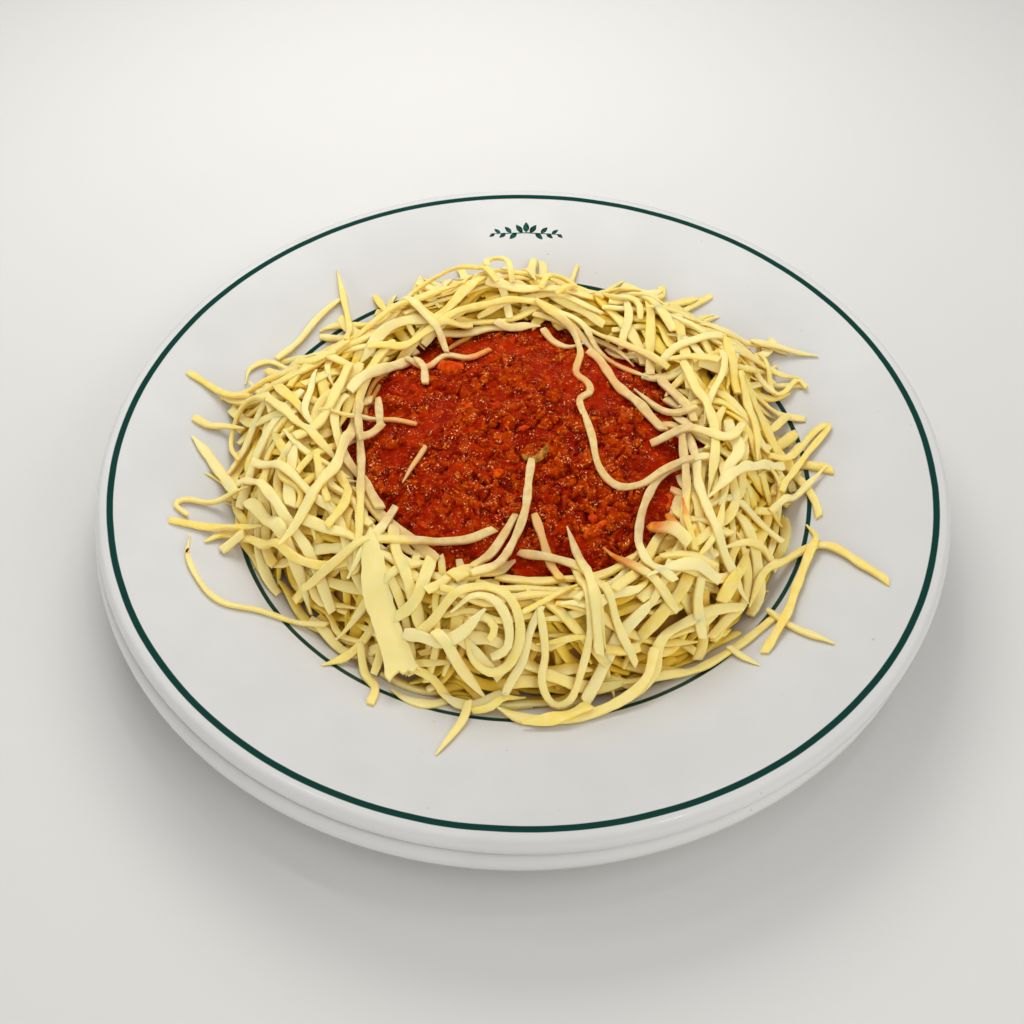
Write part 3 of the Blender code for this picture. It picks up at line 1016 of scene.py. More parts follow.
# the shreds that anyone would notice: their places on the heap in mm, width, ends and how far
# the middle arches up, in the order in which they were dropped
laidShreds = {
    # over the far side
    "backArc": (((-33, 54), (-24, 61), (-12, 66), (4, 67), (14, 62), (23, 51), (27, 44)),
                2.8, "blunt", 1.0),
    "backLoop": (((-47, 66), (-44, 76), (-36, 84), (-26, 86), (-17, 80), (-11, 72)), 2.6, "point", 4.5),
    "standingLoop": (((-15, 79), (-15, 84), (-11, 86), (-7, 82), (-5, 74)), 2.8, "blunt", 6.0),
    "curledLoop": (((6, 70), (9, 78), (14, 82), (19, 79), (18, 72), (12, 68)), 2.6, "blunt", 3.5),
    "farStray": (((22, 84), (28, 79), (34, 76), (44, 68)), 3.4, "point", 0.0),
    "farEdge": (((-11, 60), (-6, 58), (1, 60), (6, 60)), 3.8, "point", 0.0),
    "farEdgeRight": (((7, 59), (11, 51), (16, 48), (23, 50)), 3.2, "point", 0.0),
    "fallBackRight": (((12, 62), (21, 58), (28, 46), (36, 38), (46, 31)), 2.8, "point", 0.0),
    "crossBackLeft": (((-61, 90), (-50, 70), (-40, 60), (-34, 55), (-29, 43)), 3.0, "point", 0.0),
    "pinkLeft": (((-63, 19), (-59, 26), (-51, 34), (-43, 40)), 4.4, "blunt", 0.0),
    "pinkLeftUpper": (((-58, 41), (-47, 44), (-38, 50), (-31, 54), (-20, 58)), 3.4, "blunt", 0.0),
    "upperLeftFall": (((-64, 30), (-67, 18), (-69, 8), (-73, -2), (-79, -8)), 3.8, "blunt", 0.5),
    "rimLeft": (((-96, 52), (-89, 62), (-83, 74), (-77, 83), (-72, 88)), 2.8, "point", 0.5),
    "bentLeft": (((-106, 38), (-105, 46), (-96, 50), (-82, 34)), 2.6, "point", 0.5),
    "longUpperLeft": (((-99, 46), (-88, 36), (-77, 31), (-69, 34)), 3.4, "point", 0.0),
    # down the left side
    "longLeft": (((-112, 29), (-104, 24), (-92, 15), (-76, -3), (-63, -14)), 4.0, "point", 0.5),
    "edgeLeft": (((-102, -3), (-107, 7), (-106, 17), (-101, 20), (-93, 14)), 1.8, "blunt", 1.0),
    "secondLeft": (((-95, -10), (-83, -20), (-73, -30), (-61, -42)), 3.4, "point", 0.5),
    "steepLeft": (((-71, -14), (-68, -26), (-64, -38)), 3.2, "blunt", 0.0),
    "hookLeft": (((-104, -16), (-98, -15), (-90, -23), (-80, -38), (-70, -51), (-62, -67)),
                 4.0, "blunt", 1.5),
    "broadLeft": (((-95, -25), (-88, -34), (-80, -44), (-75, -52), (-70, -64)), 5.0, "point", 0.5),
    "overLeft": (((-109, -38), (-103, -34), (-95, -37), (-85, -45), (-71, -54), (-56, -57)),
                 3.6, "point", 1.0),
    "insideLeft": (((-63, -19), (-59, -28), (-60, -39), (-64, -46)), 3.4, "blunt", 0.5),
    "bluntLeft": (((-56, -19), (-52, -26), (-48, -33)), 4.6, "blunt", 0.0),
    "outerLeft": (((-59, 16), (-61, 0), (-66, -24), (-73, -40), (-80, -50)), 4.2, "point", 0.5),
    "uprightLeft": (((-60, 14), (-57, -6), (-55, -25), (-53, -54), (-54, -62)), 3.2, "point", 0.5),
    "needleLeft": (((-72, 6), (-62, 7), (-50, 9), (-38, 6)), 1.9, "point", 0.0),
    "stubLeft": (((-53, 20), (-52, 12), (-51, 5)), 3.2, "blunt", 0.5),
    "stubBesideIt": (((-58, -3), (-54, 1), (-50, 6)), 3.2, "blunt", 0.0),
    # round the front
    "slantLeft": (((-43, -31), (-46, -41), (-51, -55), (-56, -63)), 3.6, "point", 1.0),
    "longFront": (((-72, -60), (-59, -56), (-44, -50), (-27, -46), (-17, -45), (-9, -42)),
                  3.3, "blunt", 0.5),
    "underFlake": (((-46, -72), (-52, -78), (-58, -82), (-64, -85)), 3.4, "point", 0.0),
    "frontStub": (((-52, -78), (-50, -87), (-46, -93), (-47, -100)), 3.2, "blunt", 0.0),
    "besideFlake": (((-47, -88), (-45, -83), (-43, -76)), 3.4, "blunt", 0.5),
    "lowArc": (((-41, -93), (-35, -97), (-28, -98), (-22, -95)), 3.6, "point", 0.0),
    "lowArcInside": (((-33, -89), (-27, -91), (-23, -95), (-16, -97)), 3.2, "point", 0.0),
    "flakeSide": (((-40, -75), (-34, -73), (-31, -67), (-29, -58)), 4.6, "blunt", 0.5),
    "flakeSideUpper": (((-30, -71), (-25, -68), (-20, -60), (-12, -55)), 3.6, "blunt", 0.5),
    "broadLeaf": (((-22, -66), (-15, -60), (-8, -57), (-2, -52)), 6.4, "point", 0.5),
    "slopeMiddle": (((-2, -36), (-5, -42), (-10, -51), (-16, -60)), 3.4, "blunt", 1.0),
    "sunkMiddle": (((4, -36), (6, -42), (9, -52), (13, -62)), 3.2, "blunt", 0.0),
    "outerCurl": (((-32, -81), (-27, -78), (-20, -73), (-11, -70), (-3, -74), (0, -82), (-3, -89),
                   (-9, -92), (-15, -89), (-17, -84)), 3.6, "point", 0.5),
    "innerCurl": (((-22, -78), (-15, -74), (-8, -75), (-4, -80), (-4, -86), (-9, -88)),
                  3.4, "point", 0.5),
    "curlHeart": (((-16, -80), (-11, -79), (-8, -82), (-10, -85)), 2.8, "blunt", 0.0),
    "leafOverCurl": (((-37, -80), (-30, -83), (-24, -85), (-16, -82), (-11, -77)), 4.4, "point", 1.0),
    "downFromCurl": (((-27, -82), (-22, -87), (-16, -92), (-11, -96)), 4.4, "point", 0.5),
    "bottomLeaf": (((-25, -95), (-19, -98), (-12, -98), (-5, -95)), 4.4, "point", 0.5),
    "bottomRun": (((-15, -101), (-9, -100), (-5, -97), (2, -95)), 3.0, "point", 0.0),
    "levelFront": (((5, -84), (14, -83), (24, -82)), 2.6, "points", 0.0),
    "shortFront": (((27, -84), (32, -84), (38, -82)), 4.2, "blunt", 0.0),
    "hookFront": (((6, -76), (8, -86), (7, -93), (11, -98), (16, -97), (19, -91), (22, -80), (19, -64),
                   (17, -52)), 2.8, "blunt", 1.0),
    "slantMiddle": (((-1, -49), (8, -52), (18, -56), (26, -68), (31, -79), (37, -87)), 3.2, "blunt", 0.5),
    "spikeBeside": (((21, -62), (24, -73), (27, -85)), 3.2, "point", 0.5),
    "spikeMiddle": (((15, -40), (19, -54), (22, -70), (25, -87)), 3.4, "point", 1.0),
    "lowSweep": (((33, -91), (46, -87), (57, -84), (67, -78), (75, -72), (84, -64)), 3.2, "point", 0.5),
    "highSweep": (((28, -98), (38, -93), (43, -87), (44, -81), (48, -76), (55, -72), (63, -68),
                   (73, -64)), 4.0, "blunt", 1.5),
    "frontSweep": (((-7, -100), (0, -103), (8, -104), (18, -103), (31, -98), (40, -91), (43, -82)), 3.8,
                   "point", 0.5),
    "frontWide": (((1, -106), (8, -105), (15, -103), (22, -99)), 5.4, "point", 0.0),
    # up the right side
    "stainedTip": (((27, -47), (34, -55), (43, -66), (50, -72)), 3.2, "point", 0.5),
    "bluntLow": (((45, -55), (54, -56), (63, -58)), 3.8, "blunt", 0.5),
    "leafLow": (((40, -65), (47, -62), (56, -60), (64, -62)), 4.6, "point", 0.5),
    "shortLow": (((58, -62), (57, -68), (59, -76)), 3.8, "blunt", 0.5),
    "fallRight": (((58, 2), (60, -10), (60, -24), (63, -42), (68, -54), (75, -62)), 3.6, "point", 1.0),
    "broadFall": (((76, -44), (72, -54), (65, -66)), 4.8, "point", 0.5),
    "arcLow": (((66, -49), (75, -44), (83, -41), (87, -44)), 3.4, "point", 1.5),
    "archRight": (((66, -11), (59, -12), (51, -13), (45, -21), (40, -35), (39, -49), (43, -61),
                   (49, -66)), 3.2, "blunt", 1.5),
    "uprightRight": (((56, 4), (56, -8), (56, -24), (54, -38), (54, -48)), 3.4, "blunt", 1.0),
    "longRight": (((58, 35), (61, 25), (65, 14), (67, 2), (66, -12), (63, -27)), 3.8, "point", 1.0),
    "outsideRight": (((79, 30), (81, 18), (83, 6), (82, -8)), 3.4, "point", 1.0),
    "broadOutside": (((80, 28), (86, 19), (91, 11), (98, 0)), 5.0, "point", 0.5),
    "risingRight": (((62, -31), (72, -21), (81, -12), (94, 0)), 4.2, "point", 2.0),
    "curlRight": (((85, -8), (90, -10), (91, -16), (86, -23), (80, -25)), 3.2, "point", 1.0),
    "archedBlunt": (((45, -1), (53, 2), (60, 2), (67, -4), (73, -4), (77, 3)), 3.6, "blunt", 1.0),
    "bluntUpper": (((54, 37), (62, 35), (71, 32)), 4.0, "blunt", 0.5),
    "pinkRight": (((40, 24), (47, 16), (55, 12), (62, 13)), 3.2, "point", 0.0),
    "broadRight": (((24, 45), (28, 40), (33, 28), (41, 17), (50, 5)), 3.8, "blunt", 0.5),
    "topRight": (((66, 56), (78, 56), (90, 62), (102, 58)), 3.2, "point", 0.5),
    "loopOverSauce": (((4, 67), (11, 61), (18, 55), (21, 44), (19, 31), (23, 26), (24, 21), (20, 15),
                       (24, -1), (26, -15), (33, -23), (41, -21), (50, -14), (59, -12)),
                      2.9, "blunt", 0.0),
    "uprightStrand": (((3, -13), (2, -24), (1, -36), (-3, -47), (-8, -57), (-16, -64)),
                      3.1, "blunt", 1.5),
    "bentTwig": (((-44, 40), (-36, 35), (-29, 41), (-21, 40), (-13, 46)), 2.8, "blunt", 0.5),
    "twigStub": (((-40, 38), (-37, 33), (-36, 25)), 3.2, "blunt", 0.0),
    "twigStem": (((-52, 74), (-44, 62), (-38, 56), (-32, 50), (-29, 42)), 2.8, "point", 0.0),
    "sunkLeft": (((-34, -6), (-38, -14), (-41, -22)), 1.8, "point", -0.4),
    "stainedFan": (((49, -34), (51, -43), (53, -54)), 3.0, "point", 1.0),
    "stainedFanTwo": (((54, -30), (54, -42), (56, -54)), 2.6, "point", 1.5),
    "stainedFanThree": (((43, -37), (49, -45), (54, -53)), 4.6, "blunt", 1.5),
}

# shreds that lie out on the rim, each by the name of its node in the frame
strayShreds = {
    "shred_left": (((-127, 39), (-119, 34), (-110, 28), (-101, 25)), 2.8, "blunt", 0.4),
    "shred_left_middle": (((-121, 9), (-114, 1), (-107, -9), (-100, -20)), 4.4, "point", 0.4),
    "shred_left_pair": (((-122, -31), (-112, -32), (-100, -33), (-88, -37)), 3.0, "point", 0.8),
    "shred_left_arc": (((-114, -36), (-113, -46), (-106, -58), (-98, -64), (-86, -65), (-74, -68),
                        (-64, -69)), 2.1, "point", 0.3),
    "shred_front": (((-16, -98), (-17, -103), (-19, -108), (-25, -119)), 3.0, "point", 0.4),
    "shred_right_low": (((82, -61), (90, -70), (101, -78)), 2.6, "point", 0.2),
    "shred_right_long": (((76, -61), (80, -52), (85, -45), (97, -36), (106, -36), (114, -45),
                          (122, -54)), 3.2, "point", 1.2),
    "shred_right_far": (((88, 61), (100, 58), (113, 54)), 2.4, "point", 0.3),
    "shred_back": (((-77, 100), (-74, 89), (-69, 68), (-67, 48)), 2.8, "point", 1.5),
}
looseShreds = {
    # further shreds that hang over the verge, with no node of their own
    "leftTuft": (((-122, 18), (-116, 15), (-110, 15), (-102, 12)), 3.0, "point", 0.6),
    "leftStub": (((-103, -41), (-100, -39), (-95, -37)), 3.6, "blunt", 0.0),
    "rightDrop": (((100, -24), (102, -31), (98, -40), (92, -54), (88, -64), (79, -79)),
                  3.4, "point", 1.4),
    "rightLoop": (((88, 0), (97, 5), (108, 18), (113, 19), (104, 8), (95, -6), (91, -15)),
                  2.8, "blunt", 1.2),
    "rightSpike": (((86, -24), (97, -12), (110, 1)), 2.8, "point", 0.8),
    "rightCurly": (((88, 58), (92, 48), (94, 38), (98, 37), (104, 43), (107, 39)), 2.2, "point", 0.6),
    "lowTip": (((68, -76), (72, -80), (77, -84)), 2.6, "point", 0.0),
    "leftPair": (((-95, -20), (-103, -20), (-111, -21), (-118, -21), (-121, -24), (-116, -28)),
                 2.0, "point", 0.6),
}


# each shred's own tone, how near the sauce it is, how soaked, and its painted shade, by how deep in the
# heap it lies and by its underside
cheeseMarks = ("tone", "nearSauce", "soak", "paintedShade")


def makeCheeseMaterial():
    material, tree, shader = newMaterial("gratedCheese")
    place = objectPlace(tree)
    tone, near, soak, paintedShade = readMarks(tree, *cheeseMarks)
    cloudy = ramp(tree, grain(tree, place, 3.0, 3.0), 0.3, 0.7)
    pale = mixColours(tree, tone, *cheese["pale"])
    pale = layColour(tree, pale, cloudy, 0.35, cheese["milky"])
    # painted shade: darker, more saturated yellow deep in the heap and on the shreds' undersides
    pale = layColour(tree, pale, paintedShade, 0.9, cheese["paintedShade"])
    body = layColour(tree, pale, near, 0.8, mixColours(tree, cloudy, *cheese["warm"]))
    stained = mixColours(tree, cloudy, *cheese["stained"])
    tree.links.new(mixColours(tree, soak, body, stained), shader.inputs["Base Color"])
    letLightIn(shader, 0.42, (2.6, 1.7, 0.4))
    oily = ramp(tree, grain(tree, place, 5, 3.0), 0.35, 0.65)
    roughness = calculate(tree, "ADD", 0.34, calculate(tree, "MULTIPLY", oily, 0.16))
    tree.links.new(roughness, shader.inputs["Roughness"])
    fine = bump(tree, grain(tree, place, 0.5, 3.0), 0.05, 0.4)
    tree.links.new(bump(tree, grain(tree, place, 2.2, 2.0), 0.12, 0.35, fine), shader.inputs["Normal"])
    return material


cheeseMaterial = makeCheeseMaterial()
# flat strips with round edges, as (across, up); the finer one is for those that lie on top
plainSection = np.array([(0.5, -0.24), (0.5, 0.24), (0.41, 0.5), (-0.41, 0.5),
                         (-0.5, 0.24), (-0.5, -0.24), (-0.41, -0.5), (0.41, -0.5)])
fineSection = np.array([(0.5, -0.2), (0.5, 0.2), (0.45, 0.4), (0.35, 0.5),
                        (-0.35, 0.5), (-0.45, 0.4), (-0.5, 0.2), (-0.5, -0.2),
                        (-0.45, -0.4), (-0.35, -0.5), (0.35, -0.5), (0.45, -0.4)])
# how near to the middle and how far out the small shreds lie, in mm, by direction in degrees
ringReach = {
    0: (55, 96), 15: (56, 95), 30: (57, 108), 45: (57, 102), 60: (58, 101), 75: (60, 93),
    90: (61, 100), 105: (61, 101), 120: (60, 97), 135: (61, 96), 150: (62, 98), 165: (61, 109),
    180: (60, 102), 195: (60, 103), 210: (60, 99), 225: (59, 95), 240: (58, 96), 255: (59, 97),
    270: (62, 96), 285: (63, 97), 300: (64, 97), 315: (62, 99), 330: (60, 97), 345: (57, 95),
}
gridAngle = np.degrees(np.arctan2(gridY, gridX)) % 360
ringInside, ringOutside = [
    np.interp(gridAngle, list(ringReach), [reach[side] for reach in ringReach.values()], period=360)
    for side in (0, 1)
]
inRing = (gridRadius > ringInside) & (gridRadius < ringOutside)
beyond = np.maximum(gridRadius - ringOutside, ringInside - gridRadius).clip(0)   # mm off the ring
ringSlopes = {
    "outerRise": 3.6,                  # how high the ring stands at its outer verge, mm
    "outerSlope": 1.2,                 # and how steeply it climbs from there
    "innerRise": 5.0,                  # the same on the sauce's side, over the band
    "innerSlope": 0.65,
    "sauceWithin": 72,                 # within this radius the sauce lies beside it, and then the plate
    "besideRise": 1.2,
}
outerVerge = plateHeight(ringOutside) - bandHeight + ringSlopes["outerRise"]
outerFlank = outerVerge + ringSlopes["outerSlope"] * (ringOutside - gridRadius)
innerFlank = ringSlopes["innerRise"] + ringSlopes["innerSlope"] * (gridRadius - ringInside)
beside = np.where(gridRadius < ringSlopes["sauceWithin"], softSauce, plateTop)
ringGoal = np.minimum(blur(filled(ringTop, 8.0), 3), np.minimum(outerFlank, innerFlank))
ringGoal = blur(np.where(inRing, ringGoal, beside + ringSlopes["besideRise"]), 1)
layers = np.zeros_like(pile)           # how many shreds lie over each cell


def shredShape(draw, x, y, width, ends):
    # width and thickness along a shred: thin points or blunt cuts, and never quite even
    step = np.hypot(np.diff(x), np.diff(y)).mean()
    count = len(x)
    fromEnd = np.minimum(np.arange(count), np.arange(count)[::-1]) * step
    wave = draw.uniform(0, 2 * math.pi)
    wavy = 0.10 * np.sin(np.arange(count) * draw.uniform(0.5, 1.1) + wave)
    uneven = 1 + wavy + draw.normal(0, 0.03, count)
    thick = draw.uniform(*cheese["thick"])
    start, finish = np.arange(count) * step, np.arange(count)[::-1] * step
    share = np.clip((fromEnd + 0.5) / 1.4, 0.84, 1)
    if ends == "point":
        taper = draw.uniform(6, 14)
        pointed = start if draw.random() < 0.5 else finish
        share = share * np.clip(pointed / taper, 0.12, 1) ** 0.65
    if ends == "points":
        share = np.clip((fromEnd + 0.6) / draw.uniform(7, 13), 0.12, 1) ** 0.65
    return width * uneven * share, thick * np.clip(share, 0.45, 1)


def layShred(draw, x, y, width, ends, arch, stiffness, section):
    # rests one shred on the pile, and gives its points, faces and cheeseMarks
    widths, thicks = shredShape(draw, x, y, width, ends)
    thick = float(np.median(thicks))
    z, lean = restOn(x, y, widths, thick, stiffness)
    t = np.linspace(0, 1, len(x))
    z = z + arch * np.sin(math.pi * t) ** 0.8
    z = np.minimum(z, cheese["highest"] - 0.4 * thick)
    before = pile.copy()
    stamp(x, y, z, lean, widths, thick)
    layers[pile > before] += 1
    twistAlong, twistEach = cheese["twist"]
    twist = softened(draw.normal(0, twistAlong, len(x))) + draw.normal(0, twistEach)
    skew = draw.normal(0, cheese["skew"], 2)
    points, faces = sweep(section, x, y, z, lean + twist, widths, thicks, skew)
    near = heightAt(overSauce, points[:, 0], points[:, 1])
    clearance = points[:, 2] - heightAt(softSauce + 0.6, points[:, 0], points[:, 1])
    soak = near * (1 - easeStep(clearance, 0.2, 1.6)) * draw.uniform(0.2, 0.9)
    # painted shade: the deeper a point lies under the heap's top, and the lower on its shred's section,
    # the darker and yellower it is painted
    buried = easeStep(heightAt(ringGoal, points[:, 0], points[:, 1]) - points[:, 2], 0.2, 3.4)
    underneath = np.tile(0.5 - section[:, 1], len(x))      # the light that gets there is yellower
    paintedShade = np.clip(buried + 0.6 * underneath, 0, 1)
    return points, faces, np.full(len(points), draw.random()), easeStep(near, 0.02, 0.6), soak, paintedShade


def addShreds(pieceName, laid, nodes):
    points, faces = joinedPatches([shred[:2] for shred in laid])
    marks = {name: np.concatenate([shred[k] for shred in laid])
             for k, name in enumerate(cheeseMarks, 2)}
    piece = addPiece(pieceName, points, faces, cheeseMaterial, marks=marks, crease=60)
    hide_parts(*nodes)
    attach(piece, "root")


def routeCover(routes):
    # how many of the longer shreds will lie over each cell
    cover = np.zeros_like(pile)
    for route, width, *_ in routes:
        x, y = smoothRoute(route, cell).T
        sideX, sideY = sidesOf(x, y)
        for across in np.arange(-0.5, 0.51, cell / width):
            shiftX, shiftY = x + sideX * across * width, y + sideY * across * width
            np.add.at(cover, (cellOf(shiftY), cellOf(shiftX)), cell / width)
    return blur(np.minimum(cover, 2), 3)


def scatterShreds(draw, most, goal, stiffness, onTop):
    # each shred goes where the ring is barest and furthest from full, of a few places tried
    laid, misses = [], 0
    shortest, longest = cheese["length"]
    nearest, furthest = cheese["radii"]
    while len(laid) < most and misses < cheese["patience"]:
        best, bestScore = None, cheese["leastRoom"]
        length = shortest + (longest - shortest) * draw.beta(1.3, 2.2)
        stray = draw.random() < cheese["strays"]
        if stray:
            length = min(length, cheese["strayLength"])
        for _ in range(cheese["tries"]):
            if stray:
                radius = draw.uniform(*cheese["strayRadii"])
                angle = draw.uniform(*cheese["straySide"])
            else:
                radius = math.sqrt(draw.uniform(nearest**2, furthest**2))
                angle = draw.uniform(0, 2 * math.pi)
            along = not stray and draw.random() < cheese["goingRound"]
            heading = draw.normal(0, 0.8) if along else draw.normal(math.pi / 2, 0.5)
            bend = draw.normal(0, 0.6) + length / radius * math.cos(heading)
            middle = (radius * math.cos(angle), radius * math.sin(angle))
            heading += angle + math.pi / 2
            waver = abs(draw.normal(0, 0.22))
            x, y = wanderingLine(draw, middle, heading, length, bend, waver, cheese["spacing"])
            z, lean = restOn(x, y, 3.5, 1.5, stiffness)
            room = np.clip(heightAt(goal, x, y) - z - 0.7, -6, 3)
            off = heightAt(beyond, x, y) * (0.15 if stray else 1)
            room = np.where(off > 0, -off, room)
            bare = 1 - np.minimum(heightAt(layers, x, y), 2) / 2
            score = room.mean() + 0.4 * min(room.min(), 0) + cheese["bareFirst"] * bare.mean()
            if score > bestScore:
                best, bestScore = (x, y), score
        if best is None:
            misses += 1
            continue
        misses = 0
        width = float(np.clip(draw.normal(*cheese["usualWidth"]), *cheese["width"]))
        ends = draw.choice(list(cheese["ends"]), p=list(cheese["ends"].values()))
        arch = max(0.0, draw.normal(-0.3, 1.0)) if onTop else 0.0
        section = fineSection if onTop else plainSection
        laid.append(layShred(draw, *best, width, ends, arch, stiffness, section))
    return laid


def layRoute(draw, name, route, width, ends, arch):
    x, y = smoothRoute(route, cheese["spacing"] * 0.8).T
    points, faces, tone, near, soak, paintedShade = layShred(
        draw, x, y, width * cheese["narrowing"], ends, arch, 4, fineSection)
    if name.startswith("stained"):         # its first half has been in the sauce
        soak = np.repeat(1 - easeStep(np.linspace(0, 1, len(x)), 0.15, 0.7), len(fineSection))
    if name.startswith("sunk"):
        soak = soak * 0 + 0.35
    return points, faces, tone, near, soak, paintedShade


def overGrid(byAngle):
    # spreads values given for each direction over the whole grid
    share = np.arctan2(gridY, gridX) % (2 * math.pi) / (2 * math.pi)
    return np.interp(share, np.linspace(0, 1, len(byAngle) + 1), np.append(byAngle, byAngle[0]))


def makeCheeseCore():
    steps = cheese["coreSteps"]
    angles = np.arange(steps) * 2 * math.pi / steps
    directions = [math.radians(degrees) for degrees in ringReach]
    farSide = [reach[1] for reach in ringReach.values()]
    outer = smoothRound(np.interp(angles, directions, farSide, period=2 * math.pi)) - cheese["coreBack"]
    inner = np.full(steps, cheese["coreInside"])
    verge = overGrid(outer)
    core = np.minimum(blur(ringGoal, 3) - cheese["coreSink"], plateTop + 0.9 + 1.1 * (verge - gridRadius))
    core = np.maximum(core, plateTop + 0.6)
    np.maximum(pile, np.where(inRing & (gridRadius < verge), core, nowhere), out=pile)
    points, faces = roundCore(inner, outer, core, plateTop + 0.3, steps, 26)
    flat = np.zeros(len(points))
    # the core is painted in full shade
    return points, faces, flat + 0.9, flat, flat, flat + 1.0


def makeGratedCheese():
    draw = np.random.default_rng(cheese["seed"])
    core = makeCheeseCore()
    onRim = strayShreds | looseShreds
    longOnes = [*laidShreds.values(), *onRim.values()]
    goal = ringGoal - cheese["longRoom"] * routeCover(longOnes)
    goal = np.maximum(goal, plateTop + cheese["leastHeap"])
    lowGoal = np.maximum(goal - cheese["underRoom"], plateTop + 2.0)
    under = scatterShreds(draw, cheese["underShreds"], lowGoal, 2, False)
    addShreds("cheeseUnder", [core, *under], ["grated_cheese"])
    top = scatterShreds(draw, cheese["topShreds"], goal + cheese["topRise"], 3, True)
    addShreds("cheeseTop", top, ["grated_cheese"])
    print(len(under), "shreds below and", len(top), "above")
    laid = [layRoute(draw, name, *shred) for name, shred in laidShreds.items()]
    addShreds("cheeseLongShreds", laid, ["grated_cheese"])
    strays = [layRoute(draw, name, *shred) for name, shred in onRim.items()]
    addShreds("cheeseStrays", strays, list(strayShreds))


# a crumb of sauce that lies on the long bent shred at the left
speck = {
    "seed": 3,
    "place": (-113.5, -44.0),
    "size": 0.6,
    "flatness": 0.6,
    "tone": 0.3,
}


def makeSauceSpeck():
    draw = np.random.default_rng(speck["seed"])
    x, y = speck["place"]
    height = heightAt(pile, np.array([x]), np.array([y]))[0]
    points, faces = lumpPatch(draw, np.array([x, y, height]), speck["size"], speck["flatness"], 2)
    marks = {"meat": np.ones(len(points)), "tone": np.full(len(points), speck["tone"])}
    piece = addPiece("sauceSpeck", points, faces, sauceMaterial, marks=marks)
    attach(piece, "root")


makeGratedCheese()
makeSauceSpeck()
print("cheese is grated over it")


# the broad flake, by places along its left and right edges, from the thin tip down to its torn end
flake = {
    "seed": 5,
    "left": ((-50, -47), (-51.5, -58), (-50.3, -70), (-47, -78), (-44.3, -85), (-42.5, -91)),
    "right": ((-49, -46.5), (-44.8, -57), (-41.2, -69), (-38.3, -78), (-34.5, -85), (-31.3, -89.5)),
    "torn": (0.0, -2.8, -0.8, 0.4, -0.9, 0.4, -0.6, 0.6, -0.5),
    "thick": 1.3,
    "ragged": 0.28,                    # how far its edges wander
    "cupped": 0.6,                     # how far its long edges curl down
    "rows": 30,
    "columns": 9,
}


def makeFlake():
    draw = np.random.default_rng(flake["seed"])
    rows, columns = flake["rows"], flake["columns"]
    edges = []
    for name in ("left", "right"):
        route = smoothRoute(flake[name], 1.0)
        index = np.linspace(0, len(route) - 1, rows)
        edges.append(np.stack([np.interp(index, np.arange(len(route)), route[:, k]) for k in (0, 1)], -1))
    share = np.linspace(0, 1, columns)
    grid = edges[0][:, None] * (1 - share)[None, :, None] + edges[1][:, None] * share[None, :, None]
    ragged = draw.normal(0, flake["ragged"], (rows, columns, 2))
    ragged[:, 1:-1] *= 0.25
    grid += ragged
    grid[-1, :, 1] += flake["torn"]
    x, y = grid[..., 0], grid[..., 1]
    rest = heightAt(pile, x, y)
    middle = np.maximum(rest.max(1), -4)
    for _ in range(6):
        middle = np.maximum(softened(middle), rest.mean(1))
    cup = (2 * share - 1) ** 2
    z = middle[:, None] + 0.5 * (rest - middle[:, None]).clip(-2.5, 0) - cup[None, :] * flake["cupped"]
    z = z + 0.5 + 0.25 * cloudNoise(x, y, 5, 61)
    for _ in range(3):
        z[1:-1] = (z[:-2] + z[1:-1] + z[2:]) / 3
    z = np.minimum(z, cheese["highest"] + 0.2)
    top = np.stack([x, y, z + flake["thick"] / 2], -1).reshape(-1, 3)
    low = np.stack([x, y, z - flake["thick"] / 2], -1).reshape(-1, 3)
    half = rows * columns
    rim = gridRim(rows, columns)
    faces = [face[::-1] for face in gridFaces(rows, columns)]
    faces += [tuple(half + i for i in face) for face in gridFaces(rows, columns)]
    faces += [(i, j, half + j, half + i) for i, j in zip(rim, rim[1:] + rim[:1])]
    points = np.concatenate([top, low])
    flat = np.zeros(len(points))
    addShreds("cheeseFlake", [(points, faces, flat + 0.4, flat, flat, flat)], ["cheese_slice"])


makeFlake()
print("the broad flake is on")


# a plain sprig printed on the far rim
sprig = {
    "radius": 126.0,                   # of its stem, on the rim
    "halfLength": 15.0,
    "leaves": 6,                       # on either side of the middle leaf
    "leaf": (5.2, 1.5),                # length and half width
    "firstLeaf": 1.6,                  # from the middle, along the stem
    "leafStep": 2.3,
    "stem": (0.22, 0.08),              # half width in the middle and at the tips
    "lift": 0.06,
    "worn": colour(30, 92, 80),
}


def leafOutline(points=9):
    t = np.linspace(0, 1, points)
    half = np.sin(math.pi * t) ** 0.8 * (1 - 0.35 * t)
    return t, half


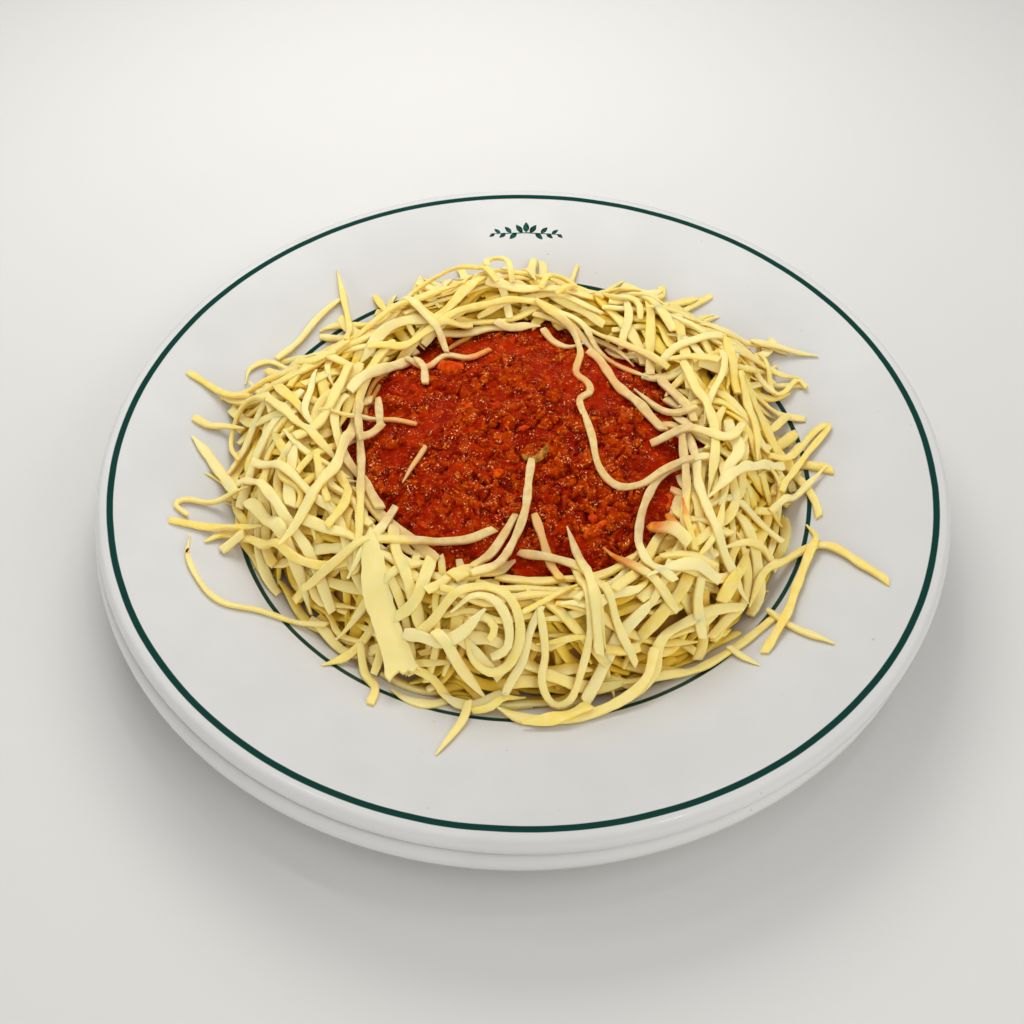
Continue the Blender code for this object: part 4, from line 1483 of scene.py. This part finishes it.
def makeSprig():
    # flat shapes in (along the rim, outwards), then bent onto the glaze
    length, halfWidth = sprig["leaf"]
    root, tip = sprig["stem"]
    t, half = leafOutline()
    shapes = []

    def addLeaf(place, degrees, size):
        a = math.radians(degrees)
        edge = np.concatenate([np.stack([t, half], -1), np.stack([t, -half], -1)[-2:0:-1]])
        edge = edge * np.array([length, halfWidth]) * size
        turnedX = edge[:, 0] * math.cos(a) - edge[:, 1] * math.sin(a)
        turnedY = edge[:, 0] * math.sin(a) + edge[:, 1] * math.cos(a)
        shapes.append(np.stack([turnedX + place[0], turnedY + place[1]], -1))

    addLeaf((0, 0.2), 90, 1.0)
    for side in (-1, 1):
        for k in range(sprig["leaves"]):
            along = side * (sprig["firstLeaf"] + k * sprig["leafStep"])
            outwards = k % 2 == 0          # the leaves take turns on either side of the stem
            lean = 58 - 4 * k if outwards else -(46 - 3 * k)
            addLeaf((along, 0.0), lean if side > 0 else 180 - lean, 0.92 - 0.07 * k)
        stem = np.array([(0, -root), (sprig["halfLength"], -tip), (sprig["halfLength"], tip), (0, root)])
        shapes.append(stem * np.array([side, 1]))
    points, faces = [], []
    for shape in shapes:
        count, start = len(shape), len(points)
        angle = math.pi / 2 - shape[:, 0] / sprig["radius"]
        radius = sprig["radius"] + shape[:, 1]
        flat = np.stack([radius * np.cos(angle), radius * np.sin(angle)], -1)
        glaze = plateHeight(radius) - bandHeight
        for lift in (sprig["lift"], 0.01):
            points += [(*p, h + lift) for p, h in zip(flat.tolist(), glaze.tolist())]
        faces.append(tuple(range(start, start + count)))
        faces.append(tuple(range(start + count, start + 2 * count))[::-1])
        for i in range(count):
            j = (i + 1) % count
            faces.append((start + j, start + i, start + count + i, start + count + j))
    material, tree, shader = newMaterial("greenPrint")
    place = objectPlace(tree)
    worn = ramp(tree, grain(tree, place, 1.5, 3.0), 0.35, 0.6)
    tree.links.new(mixColours(tree, worn, sprig["worn"], plate["green"]), shader.inputs["Base Color"])
    shader.inputs["Roughness"].default_value = 0.16
    piece = addPiece("rimSprig", points, faces, material)
    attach(piece, "root")


makeSprig()
print("the sprig is printed")
